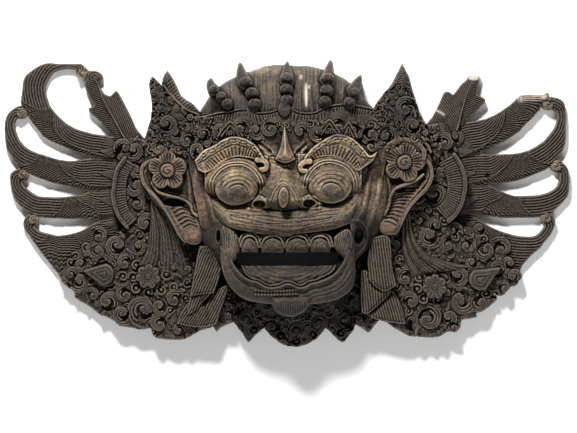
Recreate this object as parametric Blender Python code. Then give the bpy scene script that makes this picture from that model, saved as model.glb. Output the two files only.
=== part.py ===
"""Barong mask with a crown, ear flowers and two feathered wings, carved from one block of hard wood.

The mask lies on its flat back: +X runs to the right wing's tips, +Y to the crown, +Z to the nose.
The carving is drawn on a pattern of squares, as a carver squares up a block: X runs right and
Y runs down the pattern, heights are counted in steps above the flat back. Names with left and
right are the sides seen from the front.
"""
import bpy
import numpy as np

WIDTH = 0.800            # over the feather tips
DEPTH = 0.186            # flat back to the knob of the nose
HOLLOW_DEEP = 0.088      # depth of the hollow behind the face
WALL = 0.016             # least wood left over the hollow under deep carving
BACK_RIM = 0.020         # flat rim between the hollow and the edge of the crown
FEATHER_EDGE = 0.012     # thickness of a feather at its edge
FEATHER_CROWN = 0.009    # how far a feather's back rises above its edge
MOUTH_GAPE = 0.0185      # clear height of the open mouth
THINNEST = 0.0045        # least thickness anywhere
GRID = 0.0032            # spacing of the carved surface's points
TRIANGLES = 9600
FLAT_WITHIN = 0.0004     # points of the back this close to its plane lie in it

SQUARES_WIDE = 562.0
STEPS_DEEP = 130.0
SQUARE = WIDTH / SQUARES_WIDE
STEP = DEPTH / STEPS_DEEP
MIDDLE_X, MIDDLE_Y = 287.0, 204.0
FAR = 999.0


def squares(metres):
    return metres / SQUARE


def steps(metres):
    return metres / STEP


def curve(points, pieces=5):
    """A smooth line through the points."""
    p = np.asarray(points, float)
    if len(p) < 3:
        return p
    ends = np.vstack([2 * p[0] - p[1], p, 2 * p[-1] - p[-2]])
    t = np.linspace(0, 1, pieces, endpoint=False)[:, None]
    out = []
    for a, b, c, d in zip(ends[:-3], ends[1:-2], ends[2:-1], ends[3:]):
        out.append(0.5 * (2 * b + (c - a) * t + (2 * a - 5 * b + 4 * c - d) * t ** 2
                          + (3 * b - a - 3 * c + d) * t ** 3))
    return np.vstack(out + [p[-1:]])


def loop(*runs):
    """A closed outline: smooth along each run of points, with a corner where two runs meet."""
    return np.vstack([curve(run) for run in runs])


def disc(x, y, rx, ry=None, sides=28):
    a = np.linspace(0, 2 * np.pi, sides, endpoint=False)
    return np.stack([x + rx * np.cos(a), y + (ry or rx) * np.sin(a)], 1)


def round_over(d, radius):
    """0 at an edge, rising as a quarter circle to 1 where the edge is a radius away."""
    t = 1 - np.clip(d / radius, 0, 1)
    return np.sqrt(np.maximum(0, 1 - t * t))


def ease(t):
    t = np.clip(t, 0, 1)
    return t * t * (3 - 2 * t)


class Relief:
    """Outline and heights of the carving over the squares of the pattern."""

    def __init__(self, spacing):
        self.gap = spacing
        self.x = np.arange(0, 576, spacing)
        self.y = np.arange(56, 352, spacing)
        self.X, self.Y = np.meshgrid(self.x, self.y)
        self.edge = np.full(self.X.shape, -FAR)
        self.top = np.zeros(self.X.shape)

    def window(self, points, margin):
        low = np.min(points, 0) - margin
        high = np.max(points, 0) + margin
        i0, i1 = np.searchsorted(self.x, (low[0], high[0]))
        j0, j1 = np.searchsorted(self.y, (low[1], high[1]))
        return slice(j0, j1), slice(i0, i1)

    def to_line(self, points, margin):
        """Window, distance to an open line, share of its length, and side of it."""
        win = self.window(points, margin)
        return win, *self.from_line(points, win)

    def from_line(self, points, win):
        X, Y = self.X[win], self.Y[win]
        best = np.full(X.shape, FAR)
        along = np.zeros(X.shape)
        side = np.ones(X.shape)
        run = 0.0
        for (ax, ay), (bx, by) in zip(points[:-1], points[1:]):
            dx, dy = bx - ax, by - ay
            size = max(np.hypot(dx, dy), 1e-9)
            t = np.clip(((X - ax) * dx + (Y - ay) * dy) / size ** 2, 0, 1)
            d = np.hypot(X - ax - t * dx, Y - ay - t * dy)
            near = d < best
            best = np.where(near, d, best)
            along = np.where(near, run + t * size, along)
            side = np.where(near, np.sign(dx * (Y - ay) - dy * (X - ax)), side)
            run += size
        return best, along / run, side

    def within(self, points, margin=3.0):
        """Window, and the depth inside a closed outline, below zero outside it."""
        closed = np.vstack([points, points[:1]])
        win, d, along, side = self.to_line(closed, margin)
        X, Y = self.X[win], self.Y[win]
        odd = np.zeros(X.shape, bool)
        for (ax, ay), (bx, by) in zip(closed[:-1], closed[1:]):
            if ay != by:
                crosses = (ay > Y) != (by > Y)
                odd ^= crosses & (X < ax + (Y - ay) * (bx - ax) / (by - ay))
        return win, np.where(odd, d, -d)

    def raise_to(self, win, form, where, melt=0.0):
        """The higher of what is there and the form, filleted over this height where they meet."""
        keep = self.top[win]
        both = np.maximum(keep, form)
        if melt:
            both = both + melt / 4 * np.maximum(0, 1 - np.abs(keep - form) / melt) ** 2
        self.top[win] = np.where(where, both, keep)

    def lay(self, points, low, high, radius, outline=True):
        """Lay a form on the carving: its edge stands at low and rounds up to high."""
        win, d = self.within(points)
        if outline:
            self.edge[win] = np.maximum(self.edge[win], d)
        self.raise_to(win, low + (high - low) * round_over(d, radius), d > 0)

    def rib(self, points, width, low, high, melt=0.0):
        """A rounded strand along a line, as heights; low and high are at its start and end."""
        win, d, along, side = self.to_line(curve(points), width)
        form = low + (high - low) * along - width * (1 - round_over(width - d, width))
        self.raise_to(win, form, d < width, melt)

    def knob(self, x, y, radius, height, ry=None, lift=1.0, melt=0.0):
        """A rounded boss with its top at this height."""
        win = self.window(disc(x, y, radius, ry), 0)
        r = np.hypot((self.X[win] - x) / radius, (self.Y[win] - y) / (ry or radius))
        form = height - lift * radius * (1 - np.sqrt(np.maximum(0, 1 - r * r)))
        self.raise_to(win, form, r < 1, melt)

    def swell(self, points, width, rise):
        """A soft ridge along a line, added to what is there, that fades out at both ends."""
        win, d, along, side = self.to_line(curve(points), width * 2.6)
        self.top[win] += rise * np.exp(-(d / width) ** 2) * ease(along * 8) * ease((1 - along) * 8)

    def bulge(self, x, y, radius, rise, ry=None):
        """A soft mound added to what is there."""
        win = self.window(disc(x, y, radius * 2.4, (ry or radius) * 2.4), 0)
        away = np.hypot((self.X[win] - x) / radius, (self.Y[win] - y) / (ry or radius))
        self.top[win] += rise * np.exp(-away ** 2)

    def sink(self, points, floor, radius):
        """Cut a hollow whose floor stands at this height."""
        win, d = self.within(points)
        keep = self.top[win]
        cut = keep + (floor - keep) * round_over(d, radius)
        self.top[win] = np.where(d > 0, np.minimum(keep, cut), keep)

    def pierce(self, points):
        """An opening right through the wood."""
        win, d = self.within(points)
        self.edge[win] = np.minimum(self.edge[win], -d)


# Feathers: the upper edge runs from the root to the curl, the outer edge from the curl back
FEATHERS = {
    "left 1": ([(125, 140), (113, 136), (90, 132), (72, 126), (60, 117), (50, 105), (46, 92),
                (46, 84), (52, 73), (60, 69), (68, 68), (75, 69)],
               [(75, 69), (77, 75), (83, 78), (88, 76), (90, 71)],
               [(90, 71), (85, 66), (80, 63), (60, 63), (44, 63), (31, 70), (24, 79), (21, 97),
                (21, 104), (27, 115), (40, 132), (50, 140), (70, 149), (91, 157), (125, 166)]),
    "left 2": ([(128, 160), (110, 158), (91, 157), (70, 160), (50, 156), (30, 149), (20, 140),
                (16, 130), (15, 123), (17, 118)],
               [(17, 118), (24, 118), (27, 113), (24, 107), (21, 105)],
               [(21, 105), (15, 107), (8, 113), (5, 122), (5, 132), (6, 145), (9, 152), (14, 160),
                (21, 168), (30, 173), (50, 181), (70, 186), (90, 190), (122, 190)]),
    "left 3": ([(124, 186), (105, 188), (90, 190), (80, 194), (60, 196), (40, 195), (30, 190),
                (24, 185), (23, 181)],
               [(23, 181), (28, 179), (29, 172), (22, 168), (19, 167)],
               [(19, 167), (12, 171), (10, 177), (12, 190), (15, 199), (20, 205), (28, 212),
                (39, 216), (60, 218), (80, 218), (98, 219), (124, 216)]),
    "left 4": ([(128, 210), (112, 214), (98, 220), (80, 230), (60, 234), (50, 233), (40, 230),
                (35, 226)],
               [(35, 226), (38, 222), (39, 216), (33, 213), (28, 213)],
               [(28, 213), (24, 218), (23, 224), (26, 230), (40, 250), (50, 263), (60, 274),
                (80, 284), (112, 262), (128, 240)]),
    "right 1": ([(445, 140), (455, 126), (464, 122), (485, 118), (505, 107), (512, 101), (518, 95),
                 (524, 94), (541, 94)],
                [(541, 94), (547, 92), (547, 97), (543, 103)],
                [(543, 103), (536, 112), (525, 123), (515, 133), (500, 142), (479, 153),
                 (450, 166)]),
    "right 2": ([(446, 160), (462, 155), (479, 153), (490, 154), (510, 153), (525, 150),
                 (538, 143), (547, 135), (553, 127), (556, 118), (555, 112), (551, 109)],
                [(551, 109), (545, 109), (540, 105), (544, 98), (550, 96)],
                [(550, 96), (558, 98), (563, 103), (565, 115), (565, 130), (564, 143), (560, 152),
                 (553, 160), (549, 166), (530, 175), (510, 181), (486, 184), (452, 190)]),
    "right 3": ([(455, 183), (486, 184), (500, 190), (510, 194), (525, 195), (538, 194),
                 (548, 191), (555, 186), (558, 180), (558, 173)],
                [(558, 173), (551, 170), (548, 164), (554, 160), (558, 159)],
                [(558, 159), (566, 166), (568, 175), (568, 185), (566, 195), (560, 203),
                 (550, 212), (540, 216), (510, 217), (490, 216), (469, 214), (450, 216)]),
    "right 4": ([(450, 210), (469, 214), (480, 220), (495, 228), (508, 233), (520, 235),
                 (535, 234), (543, 225)],
                [(543, 225), (540, 217), (543, 212), (550, 211)],
                [(550, 211), (554, 221), (552, 228), (548, 235), (540, 245), (530, 255),
                 (520, 267), (512, 285), (480, 275), (450, 240)]),
}

LEAVES = {
    "left": ([(150, 160), (113, 140), (113, 135), (108, 130), (100, 121), (90, 112), (88, 108)],
             [(88, 108), (94, 105), (90, 98), (87, 90), (85, 84), (87, 79)],
             [(87, 79), (87, 72), (94, 70), (101, 73), (103, 78), (98, 82), (100, 88), (104, 93)],
             [(104, 93), (110, 95), (116, 90), (121, 97), (131, 117), (137, 129), (146, 139)]),
    "right": ([(420, 150), (425, 125), (432, 115), (437, 105), (441, 96), (443, 92), (447, 91),
               (452, 94)],
              [(452, 94), (460, 84), (465, 79), (467, 75)],
              [(467, 75), (479, 75)],
              [(479, 75), (477, 86), (476, 94)],
              [(476, 94), (480, 96), (484, 99), (483, 103), (478, 108), (464, 122), (450, 150)]),
}
LEAF_RIBS = {"left": [(128, 142), (116, 122), (104, 100), (95, 78)],
             "right": [(452, 142), (458, 120), (464, 98), (472, 78)]}

LEFT_PANEL = loop(
    [(146, 139), (128, 138), (119, 158), (114, 186), (116, 206), (126, 224), (110, 236),
     (92, 240), (80, 247), (70, 260), (58, 272)],
    [(58, 272), (63, 282), (72, 288), (76, 291), (75, 295), (80, 300), (88, 304), (99, 312),
     (110, 317), (115, 320), (120, 324), (130, 326), (140, 328), (151, 327)],
    [(151, 327), (155, 335), (165, 337), (183, 338), (200, 329), (213, 325)],
    [(213, 325), (217, 330), (221, 326), (233, 321)],
    [(233, 321), (260, 250), (240, 180), (170, 130)])
RIGHT_PANEL = loop(
    [(425, 125), (442, 122), (452, 136), (458, 158), (464, 182), (461, 200), (450, 220),
     (472, 226), (490, 238), (505, 252), (517, 269)],
    [(517, 269), (520, 276), (513, 283), (508, 287), (502, 294), (495, 294)],
    [(495, 294), (495, 299), (483, 309), (475, 312)],
    [(475, 312), (475, 316), (460, 318)],
    [(460, 318), (459, 325), (455, 330), (447, 330), (437, 335), (428, 336), (415, 335),
     (407, 334), (395, 327), (385, 320), (378, 318)],
    [(378, 318), (371, 327), (367, 331), (362, 327), (355, 323)],
    [(355, 323), (330, 250), (350, 180), (400, 120)])
BEARD = loop(
    [(233, 321), (241, 330), (245, 336), (248, 341)],
    [(248, 341), (253, 336), (258, 331), (264, 326)],
    [(264, 326), (268, 331), (275, 338), (283, 343), (295, 345), (305, 343), (313, 339),
     (320, 333), (325, 327)],
    [(325, 327), (330, 331), (337, 338), (342, 341)],
    [(342, 341), (347, 335), (352, 328), (355, 323)],
    [(355, 323), (350, 250), (225, 250)])

DOME = loop([(199, 112), (205, 103), (208, 98), (220, 85), (238, 75), (255, 69), (270, 65),
             (300, 65), (320, 68), (334, 73), (350, 83), (365, 100), (373, 108)],
            [(373, 108), (372, 150), (200, 150)])
PEAKS = [
    loop([(146, 165), (146, 139), (151, 122), (153, 108), (151, 93), (150, 84), (152, 77)],
         [(152, 77), (156, 79), (163, 86), (172, 98), (180, 106), (192, 113), (205, 117),
          (215, 117)],
         [(215, 117), (212, 150)]),
    loop([(164, 100), (163, 84), (165, 76), (168, 71)],
         [(168, 71), (173, 78), (181, 95), (192, 103), (199, 110)],
         [(199, 110), (199, 125), (175, 118)]),
    loop([(366, 130), (373, 107), (380, 96), (390, 84), (395, 75), (401, 64)],
         [(401, 64), (404, 71), (408, 80), (412, 96), (416, 108), (420, 117), (425, 125)],
         [(425, 125), (420, 160), (380, 160)])]

# Each crown point: the line of its claw up to the tip, and its beads from the claw down
FINIALS = [([(214, 91), (211.5, 86), (211, 80)], [(214.6, 92), (222, 98.5), (228, 105.5)], 5.5),
           ([(245, 84), (242, 75), (240.5, 64)], [(246, 84.5), (252, 95), (255, 106)], 6.5),
           ([(286.5, 82), (286.5, 73), (286.5, 63)], [(286.5, 80.5), (286, 91.5), (286, 102)], 6.5),
           ([(326, 82), (328, 73), (329.5, 62)], [(326.5, 80.5), (325, 92.5), (324, 103.5)], 6.5),
           ([(352, 92), (356, 84), (359.5, 77)], [(352.5, 95), (348, 104)], 6.0)]
CROWN_EDGE = [(190, 118), (205, 116), (225, 112), (245, 109), (260, 113), (275, 111), (286, 105),
              (297, 112), (312, 113), (326, 107), (345, 104), (372, 109), (384, 116)]
CROWN_BAND = loop(CROWN_EDGE, [(384, 116), (390, 135), (384, 166), (286, 166), (188, 166),
                               (184, 140), (190, 118)])

FACE = loop([(200, 152), (215, 140), (234, 134), (262, 138), (285, 136), (312, 138), (339, 134),
             (360, 142), (374, 152)],
            [(374, 152), (385, 175), (386, 200), (380, 225), (368, 245), (352, 262), (350, 273),
             (342, 289), (318, 297)],
            [(318, 297), (300, 302), (280, 302), (262, 299)],
            [(262, 299), (246, 297), (231, 285), (218, 261), (203, 240), (196, 215), (194, 190),
             (196, 165)])
LEFT_EYE, RIGHT_EYE = (237.0, 187.0), (328.5, 185.0)
EYE_SOCKET = 25.0
EYEBALL = 20.5
IRIS = 11.0
# Each brow: the line of its top, and the line over the lid on which its rays end
BROWS = [([(196, 161), (204, 151.5), (213, 147), (222, 141.5), (233, 137.5), (244, 139), (254, 144),
           (260, 151), (264, 159)],
          [(200, 170), (207, 172.5), (214, 169), (221, 163.5), (229, 159), (238, 157), (247, 158),
           (256, 160), (262, 164)]),
         ([(376, 151), (368, 156), (361, 149), (352, 140.5), (343, 136), (333, 135), (322, 141),
           (312, 148), (303, 158)],
          [(371, 161), (364, 166), (356, 171), (349, 166), (340, 160), (330, 157), (320, 157.5),
           (312, 160), (304, 165)])]
HORN = loop([(274, 160), (279, 150), (281.5, 138), (284, 124.5)],
            [(284, 124.5), (287, 138), (290.5, 150), (295, 160)],
            [(295, 160), (284.5, 163.5), (274, 160)])
NOSE = loop([(275, 150), (271, 166), (267, 178), (261, 188), (252, 194), (247, 201), (248.5, 209)],
            [(248.5, 209), (262, 213), (285, 215), (306, 212.5), (322, 208)],
            [(322, 208), (323.5, 200), (316, 193), (307, 187), (300, 177), (297, 164), (294, 150)])
NOSE_KNOB = (283.0, 197.0)
NOSTRILS = [(258.0, 203.0), (309.5, 202.0)]
LIP = loop([(212, 204), (232, 207), (250, 209), (268, 212), (286, 213), (303, 211), (320, 208),
            (337, 206), (356, 201)],
           [(356, 201), (353, 214), (346, 222.5), (334, 227.5), (318, 230.5), (300, 232.5),
            (284, 235.5), (268, 233.5), (252, 231), (238, 229), (227, 225.5), (217, 217), (212, 204)])
LEDGE = [(204, 198), (217, 204), (232, 208), (250, 210.5), (268, 213.5), (285, 214.5), (302, 212.5),
         (320, 209.5), (336, 207), (350, 201), (358, 194)]
CHEEK_FOLDS = [[(201, 172), (205, 186), (209, 200), (213, 214), (216, 226)],
               [(371, 164), (367, 182), (364, 200), (360, 212), (354, 222)],
               [(379, 172), (377, 190), (373, 206), (368, 224), (364, 240)]]
TEETH = [(250.0, 8.0), (272.5, 11.0), (296.5, 11.0), (319.0, 9.5)]
LIPS_MEET = 250.5        # the pattern line on which the upper teeth end
MOUTH_LEFT, MOUTH_RIGHT = 237.0, 337.0
JAW = loop([(221, 244), (221, 258), (224, 272), (230, 284), (239, 293), (250, 298), (264, 300.5)],
           [(264, 300.5), (286, 302), (308, 301.5)],
           [(308, 301.5), (326, 299.5), (341, 294), (350, 286), (353.5, 272), (353, 258),
            (352, 244)], [(352, 244), (286, 238), (221, 244)])
MOUTH = loop([(226, 225), (238, 228), (252, 231), (268, 233), (284, 235), (300, 232), (318, 230),
              (334, 227), (348, 222)],
             [(348, 222), (350, 240), (343, 257), (337, 267), (328, 274.5), (318, 278.5),
              (310, 280.5), (303, 284), (297, 284.5), (291, 281.5), (285, 280.5), (279, 283),
              (271, 284.5), (264, 282.5), (258, 279), (251, 277.5), (243, 273.5), (237, 266),
              (232, 256), (226, 240), (226, 225)])
LOWER_LIP = [(231, 252), (234, 261), (240, 271), (250, 278), (258, 280), (264, 283.5), (271, 285.5),
             (279, 284), (285, 281.5), (291, 282.5), (297, 285.5), (303, 285), (310, 281.5),
             (318, 279.5), (328, 276), (336, 269), (342, 258), (345, 250)]
TONGUE = loop([(241, 261), (286, 260), (335, 261)],
              [(335, 261), (333, 268), (326, 273.5), (317, 277.5), (309, 279.5), (302, 283),
               (297, 283.5), (291, 280.5), (285, 279.5), (279, 282), (271, 283.5), (264, 281.5),
               (258, 278), (251, 276.5), (244, 271), (241, 261)])
LEFT_FANG = loop([(224, 224), (234, 229), (239.5, 237), (240.5, 247), (238, 256), (232, 263)],
                 [(232, 263), (227, 254), (223, 242), (221, 230), (224, 224)])
RIGHT_FANG = loop([(332, 236), (339, 230), (347, 228), (352, 238), (353, 247), (350, 255), (345, 260)],
                  [(345, 260), (338, 253), (333, 245), (332, 236)])
CHIN_TAB = loop([(269, 292), (309, 292)], [(309, 292), (309, 300), (306, 306), (300, 311),
                                           (289, 314), (280, 311.5), (273, 305), (269, 292)])

LEFT_EAR = loop([(186, 160), (178, 150), (166, 147), (153, 153), (144, 165), (142, 178),
                 (148, 192), (156, 203), (168, 213), (176, 226), (182, 238)],
                [(182, 238), (192, 243), (203, 240), (206, 228), (203, 212), (196, 200),
                 (194, 185), (192, 170)])
RIGHT_EAR = loop([(378, 160), (382, 148), (392, 140), (404, 139), (418, 145), (428, 156),
                  (431, 168), (429, 180), (420, 192), (408, 206), (402, 220), (397, 230)],
                 [(397, 230), (388, 234), (379, 232), (373, 222), (378, 208), (384, 196),
                  (382, 178)])
EAR_FLOWERS = [((168.5, 170.0), 19.0, 0.0), ((402.0, 162.0), 20.0, 0.25)]
PETALS = 5

# Each tassel: its parts from the top down, with the lean of the pleats and the height
TASSELS = [
    (loop([(200, 244), (217, 246), (221, 268), (214, 291)], [(214, 291), (191, 294)],
          [(191, 294), (194, 275), (200, 244)]), 0.42, 64),
    (loop([(191, 292), (212, 289), (200, 305)], [(200, 305), (188, 312), (191, 292)]), 0.4, 56),
    (loop([(215, 288), (228, 284), (222, 305), (217, 322)], [(217, 322), (208, 324)],
          [(208, 324), (206, 305), (215, 288)]), 0.5, 52),
    (loop([(189, 300), (210, 304), (210, 324)], [(210, 324), (194, 325), (177, 322)],
          [(177, 322), (182, 310), (189, 300)]), 0.6, 48),
    (loop([(368, 236), (387, 236), (390, 262), (394, 284)], [(394, 284), (383, 290), (374, 285),
                                                             (367, 278)],
          [(367, 278), (366, 255), (368, 236)]), -0.12, 64),
    (loop([(359, 268), (366, 270), (374, 284), (390, 289)], [(390, 289), (378, 302), (366, 312)],
          [(366, 312), (360, 309), (359, 290), (359, 268)]), -0.1, 56),
    (loop([(391, 288), (399, 302), (405, 322)], [(405, 322), (388, 320), (374, 317), (366, 313)],
          [(366, 313), (378, 302), (391, 288)]), -0.3, 50)]
TASSEL_PLEAT = 4.6

COLLARS = [[(126, 158), (118, 170), (115, 186), (115, 202), (120, 216), (128, 226)],
           [(452, 154), (459, 166), (463, 182), (461, 198), (455, 211), (446, 220)]]
COLLAR_WIDTH = 17.0
COLLAR_FLUTES = 9
CROWN_FLUTE, CROWN_FLUTE_PITCH = 1.8, 6.5

# Drapery that falls from behind each ear, between two edges that run the same way
DRAPES = [([(151, 196), (151, 225), (147, 248), (139, 264)],
           [(160, 203), (174, 218), (184, 240), (191, 262), (194, 288)]),
          ([(401, 212), (399, 238), (403, 260), (411, 276)],
           [(408, 206), (413, 234), (424, 250), (446, 260), (472, 265)])]
DRAPE_FOLDS = 8

# Scrolls and bosses of the lower panels: X, Y, radius
LEFT_SCROLLS = [(147, 222, 10), (117, 244, 9), (125, 261, 7), (82, 263, 6), (186, 268, 6),
                (104, 273, 13), (80, 280, 9), (93, 293, 6), (109, 300, 10), (143, 307, 12),
                (175, 297, 8), (160, 305, 7), (125, 293, 7), (149, 275, 8), (148, 259, 5),
                (163, 262, 5), (137, 264, 5), (134, 276, 5), (137, 287, 5), (149, 291, 5),
                (162, 288, 5), (167, 273, 5), (98, 250, 7), (100, 235, 7), (140, 245, 6),
                (178, 250, 6), (72, 272, 6), (122, 312, 8), (160, 322, 8), (138, 170, 8),
                (136, 186, 9), (138, 202, 7), (135, 150, 8), (125, 146, 7), (180, 328, 7),
                (196, 322, 6), (184, 312, 6)]
RIGHT_SCROLLS = [(433, 193, 10), (425, 209, 6), (419, 218, 6), (427, 235, 9), (445, 243, 7),
                 (466, 245, 6), (484, 249, 9), (500, 247, 8), (457, 274, 9), (478, 278, 12),
                 (496, 268, 8), (433, 285, 8), (403, 276, 8), (460, 300, 11), (478, 302, 8),
                 (427, 317, 11), (447, 316, 8), (409, 299, 8), (418, 276, 5), (416, 287, 5),
                 (422, 297, 5), (436, 298, 5), (430, 268, 5), (484, 292, 5), (493, 293, 5),
                 (502, 286, 6), (512, 275, 7), (507, 262, 6), (446, 289, 6), (470, 262, 6),
                 (451, 326, 6), (440, 170, 6), (430, 150, 9), (443, 142, 8), (455, 136, 6),
                 (433, 224, 6), (452, 228, 6), (478, 228, 6), (395, 268, 6), (398, 312, 6)]
BEARD_SCROLLS = [(246, 316, 8), (254, 328, 5), (228, 312, 6), (272, 326, 8), (296, 328, 10),
                 (318, 320, 8), (342, 318, 9), (340, 331, 5), (360, 318, 6), (296, 339, 5),
                 (280, 334, 5), (312, 332, 5)]
CROWN_ROSETTES = [(205, 134, 8), (222, 131, 7), (240, 128, 7), (256, 132, 7), (270, 130, 7),
                  (300, 131, 7), (316, 133, 7), (336, 127, 8), (353, 132, 7), (368, 136, 8),
                  (188, 140, 8), (176, 134, 7), (160, 148, 6), (385, 135, 8), (410, 126, 8),
                  (402, 108, 8), (168, 124, 8), (199, 150, 6), (370, 146, 6)]

# The hollow behind the face: its middle and its reach on the pattern
HOLLOW_X, HOLLOW_Y = 287.0, 190.0
HOLLOW_HALF_WIDE, HOLLOW_DOWN = 80.0, 106.0
DOME_TOP = 65.0


def carve_wings(r):
    edge, crown = steps(FEATHER_EDGE), steps(FEATHER_CROWN)
    for inner, curl, outer in FEATHERS.values():
        r.lay(loop(inner, curl, outer), edge, edge + crown, 7)
        x, y = np.mean(curl, 0)
        r.knob(x, y, 6.5, edge + crown + 3)
    for name, runs in LEAVES.items():
        r.lay(loop(*runs), edge + 2, edge + crown + 3, 8)
        r.rib(LEAF_RIBS[name], 3.5, 26, 20)
    for panel in (LEFT_PANEL, RIGHT_PANEL):
        win, d = r.within(panel)
        r.edge[win] = np.maximum(r.edge[win], d)
        inward = ease((115 - abs(abs(r.X[win] - 288) - 95)) / 100)
        ground = 13 + 9 * round_over(d, 9) + 12 * inward
        r.raise_to(win, ground, d > 0)


def carve_scrolls(r, scrolls, rise, curl=True):
    for x, y, size in scrolls:
        j = int(np.clip(np.searchsorted(r.y, y), 0, len(r.y) - 1))
        i = int(np.clip(np.searchsorted(r.x, x), 0, len(r.x) - 1))
        ground = r.top[j, i]
        r.knob(x, y, size, ground + rise, lift=0.6)
        if curl and size >= 8:
            win, d = r.within(disc(x, y, size))
            groove = np.exp(-((d - size * 0.38) / 1.1) ** 2)
            r.top[win] -= np.where(d > 0, 3.2 * groove, 0)


def carve_collars(r):
    """The fluted band between each ear and its feathers, with a raised rim on its outer side."""
    for number, points in enumerate(COLLARS):
        line = curve(points)
        win, d, along, side = r.to_line(line, COLLAR_WIDTH)
        inner = side < 0 if number == 0 else side > 0
        band = 38 + 4 * np.abs(np.sin(along * np.pi * COLLAR_FLUTES)) - 0.25 * d
        r.raise_to(win, band, (d < COLLAR_WIDTH) & inner & (along > 0) & (along < 1))
        r.rib(points, 3.2, 43, 43)


def between(r, first, second):
    """Window, depth inside the band between two lines, share of the way across and along."""
    first, second = curve(first), curve(second)
    win, d = r.within(np.vstack([first, second[::-1]]))
    near, along, side = r.from_line(first, win)
    far, along, side = r.from_line(second, win)
    return win, d, near / (near + far), along


def carve_drapes(r):
    for first, second in DRAPES:
        win, d, across, along = between(r, first, second)
        folds = 42 - 12 * along + 3.5 * np.abs(np.sin(across * np.pi * DRAPE_FOLDS))
        folds = folds - 6 * (1 - round_over(d, 6))
        r.raise_to(win, folds, d > 0)


def carve_crown(r):
    """The dome of the skull, the fluted crown band, its peaks and its five points."""
    win, d = r.within(DOME)
    r.edge[win] = np.maximum(r.edge[win], d)
    dome = 10 + 78 * round_over(d, 52)
    r.raise_to(win, dome, d > 0)
    for points in PEAKS:
        r.lay(points, 44, 60, 12)
    r.knob(169, 128, 7, 68, ry=9)
    r.knob(398, 118, 6, 68, ry=14)
    # The band bows round the forehead, with a rolled lip and flutes under it
    win, lip, along, side = r.to_line(curve(CROWN_EDGE), 60)
    lip_distance = np.full(r.X.shape, FAR)
    lip_distance[win] = lip
    win, d = r.within(CROWN_BAND)
    x, lip = r.X[win], lip_distance[win]
    level = 54 + 34 * np.sqrt(np.maximum(1 - ((x - 286) / 104) ** 2, 0))
    level = level - 10 * (1 - round_over(d, 4)) + 4 * np.exp(-((lip - 2) / 2) ** 2)
    level = level - 0.3 * np.maximum(lip - 14, 0)
    flutes = CROWN_FLUTE * np.abs(np.sin(x * np.pi / CROWN_FLUTE_PITCH)) * (lip < 12) * (lip > 3)
    r.raise_to(win, level + flutes, d > 0)
    for claw, beads, size in FINIALS:
        line = curve(claw)
        win, d, along, side = r.to_line(line, 9)
        half = size * (1 - along) ** 0.6 + 0.8
        form = 88 - 26 * along - half * (1 - round_over(half - d, half))
        r.edge[win] = np.maximum(r.edge[win], half - d)
        r.raise_to(win, form, d < half)
        for number, (x, y) in enumerate(beads):
            r.knob(x, y, size, 92 + 2 * number, ry=size * 0.95)
    r.knob(284, 110, 6, 97, ry=8)


def carve_ears(r):
    for points, lobe in ((LEFT_EAR, (193, 233)), (RIGHT_EAR, (388, 224))):
        r.lay(points, 44, 56, 6)
        win, d = r.within(points)
        fall = ease((r.Y[win] - 200) / 30)
        bowl = ease((d - 3.5) / 5) * (1 - fall)
        r.top[win] -= np.where(d > 0, 8 * bowl - 6 * fall, 0)
        r.knob(lobe[0], lobe[1], 9, 66, ry=8, lift=0.8)
    for (x, y), size, turn in EAR_FLOWERS:
        for k in range(PETALS):
            a = 2 * np.pi * (k + 0.5) / PETALS + turn + np.pi / 2
            r.knob(x + 0.58 * size * np.cos(a), y + 0.58 * size * np.sin(a), 0.47 * size, 65,
                   lift=0.55)
        r.knob(x, y, 0.42 * size, 71, lift=0.6)


def carve_tassels(r):
    """Two pleated tassels that fall from the ear lobes beside the jaw."""
    for points, lean, height in TASSELS:
        win, d = r.within(points)
        r.edge[win] = np.maximum(r.edge[win], d)
        pleats = np.abs(np.sin((r.X[win] + lean * (r.Y[win] - 280)) * np.pi / TASSEL_PLEAT))
        form = height - 8 * (1 - round_over(d, 7)) + 2.4 * pleats
        r.raise_to(win, form, d > 0)


def carve_face(r):
    win, d = r.within(FACE)
    X, Y = r.X[win], r.Y[win]
    r.edge[win] = np.maximum(r.edge[win], d)
    aside = np.abs(X - 286)
    muzzle = np.exp(-(aside / 60) ** 2 - ((Y - 228) / 40) ** 2)
    temple = np.exp(-((aside - 74) / 10) ** 2 - ((Y - 180) / 16) ** 2)
    sides = 9 * ease((aside - 62) / 22) + 7 * temple
    r.raise_to(win, 58 + 32 * round_over(d, 50) + 9 * muzzle - sides, d > 0)
    for fold in CHEEK_FOLDS:
        r.swell(fold, 3.4, 6)
    win, d = r.within(HORN)
    root = 84 + 6 * ease((160 - r.Y[win]) / 20)
    r.raise_to(win, root + (114 - root) * round_over(d, 9), d > 0, melt=3)
    carve_nose(r)
    for number, (top, low) in enumerate(BROWS):
        carve_brow(r, top, low, 1 - 2 * number)
    for x, y in (LEFT_EYE, RIGHT_EYE):
        carve_eye(r, x, y)


def carve_nose(r):
    """A bridge that widens to the wings, the nostrils and the knob between them."""
    x, y = NOSE_KNOB
    win, d = r.within(NOSE)
    X, Y = r.X[win], r.Y[win]
    down = ease((Y - 150) / 52)
    rise = (5 + 15 * down) * ease(0.02 + d / (11 + 5 * down)) * ease((Y - 150) / 16)
    under = ease((Y - 199 - 0.004 * (X - x) ** 2) / 11)
    r.top[win] += np.where(d > 0, rise - np.minimum(rise, 17) * under, 0)
    r.bulge(x, y - 7, 8, 3, 9)
    for (nx, ny), out in zip(NOSTRILS, (-1, 1)):
        r.bulge(nx + 2 * out, ny - 4, 8, 7, 5)
        r.sink(disc(nx - out, ny + 0.5, 6.2, 4.2), 95, 2)
    r.knob(x, y, 5.2, STEPS_DEEP, ry=9.4, lift=2.2, melt=1)


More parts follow.
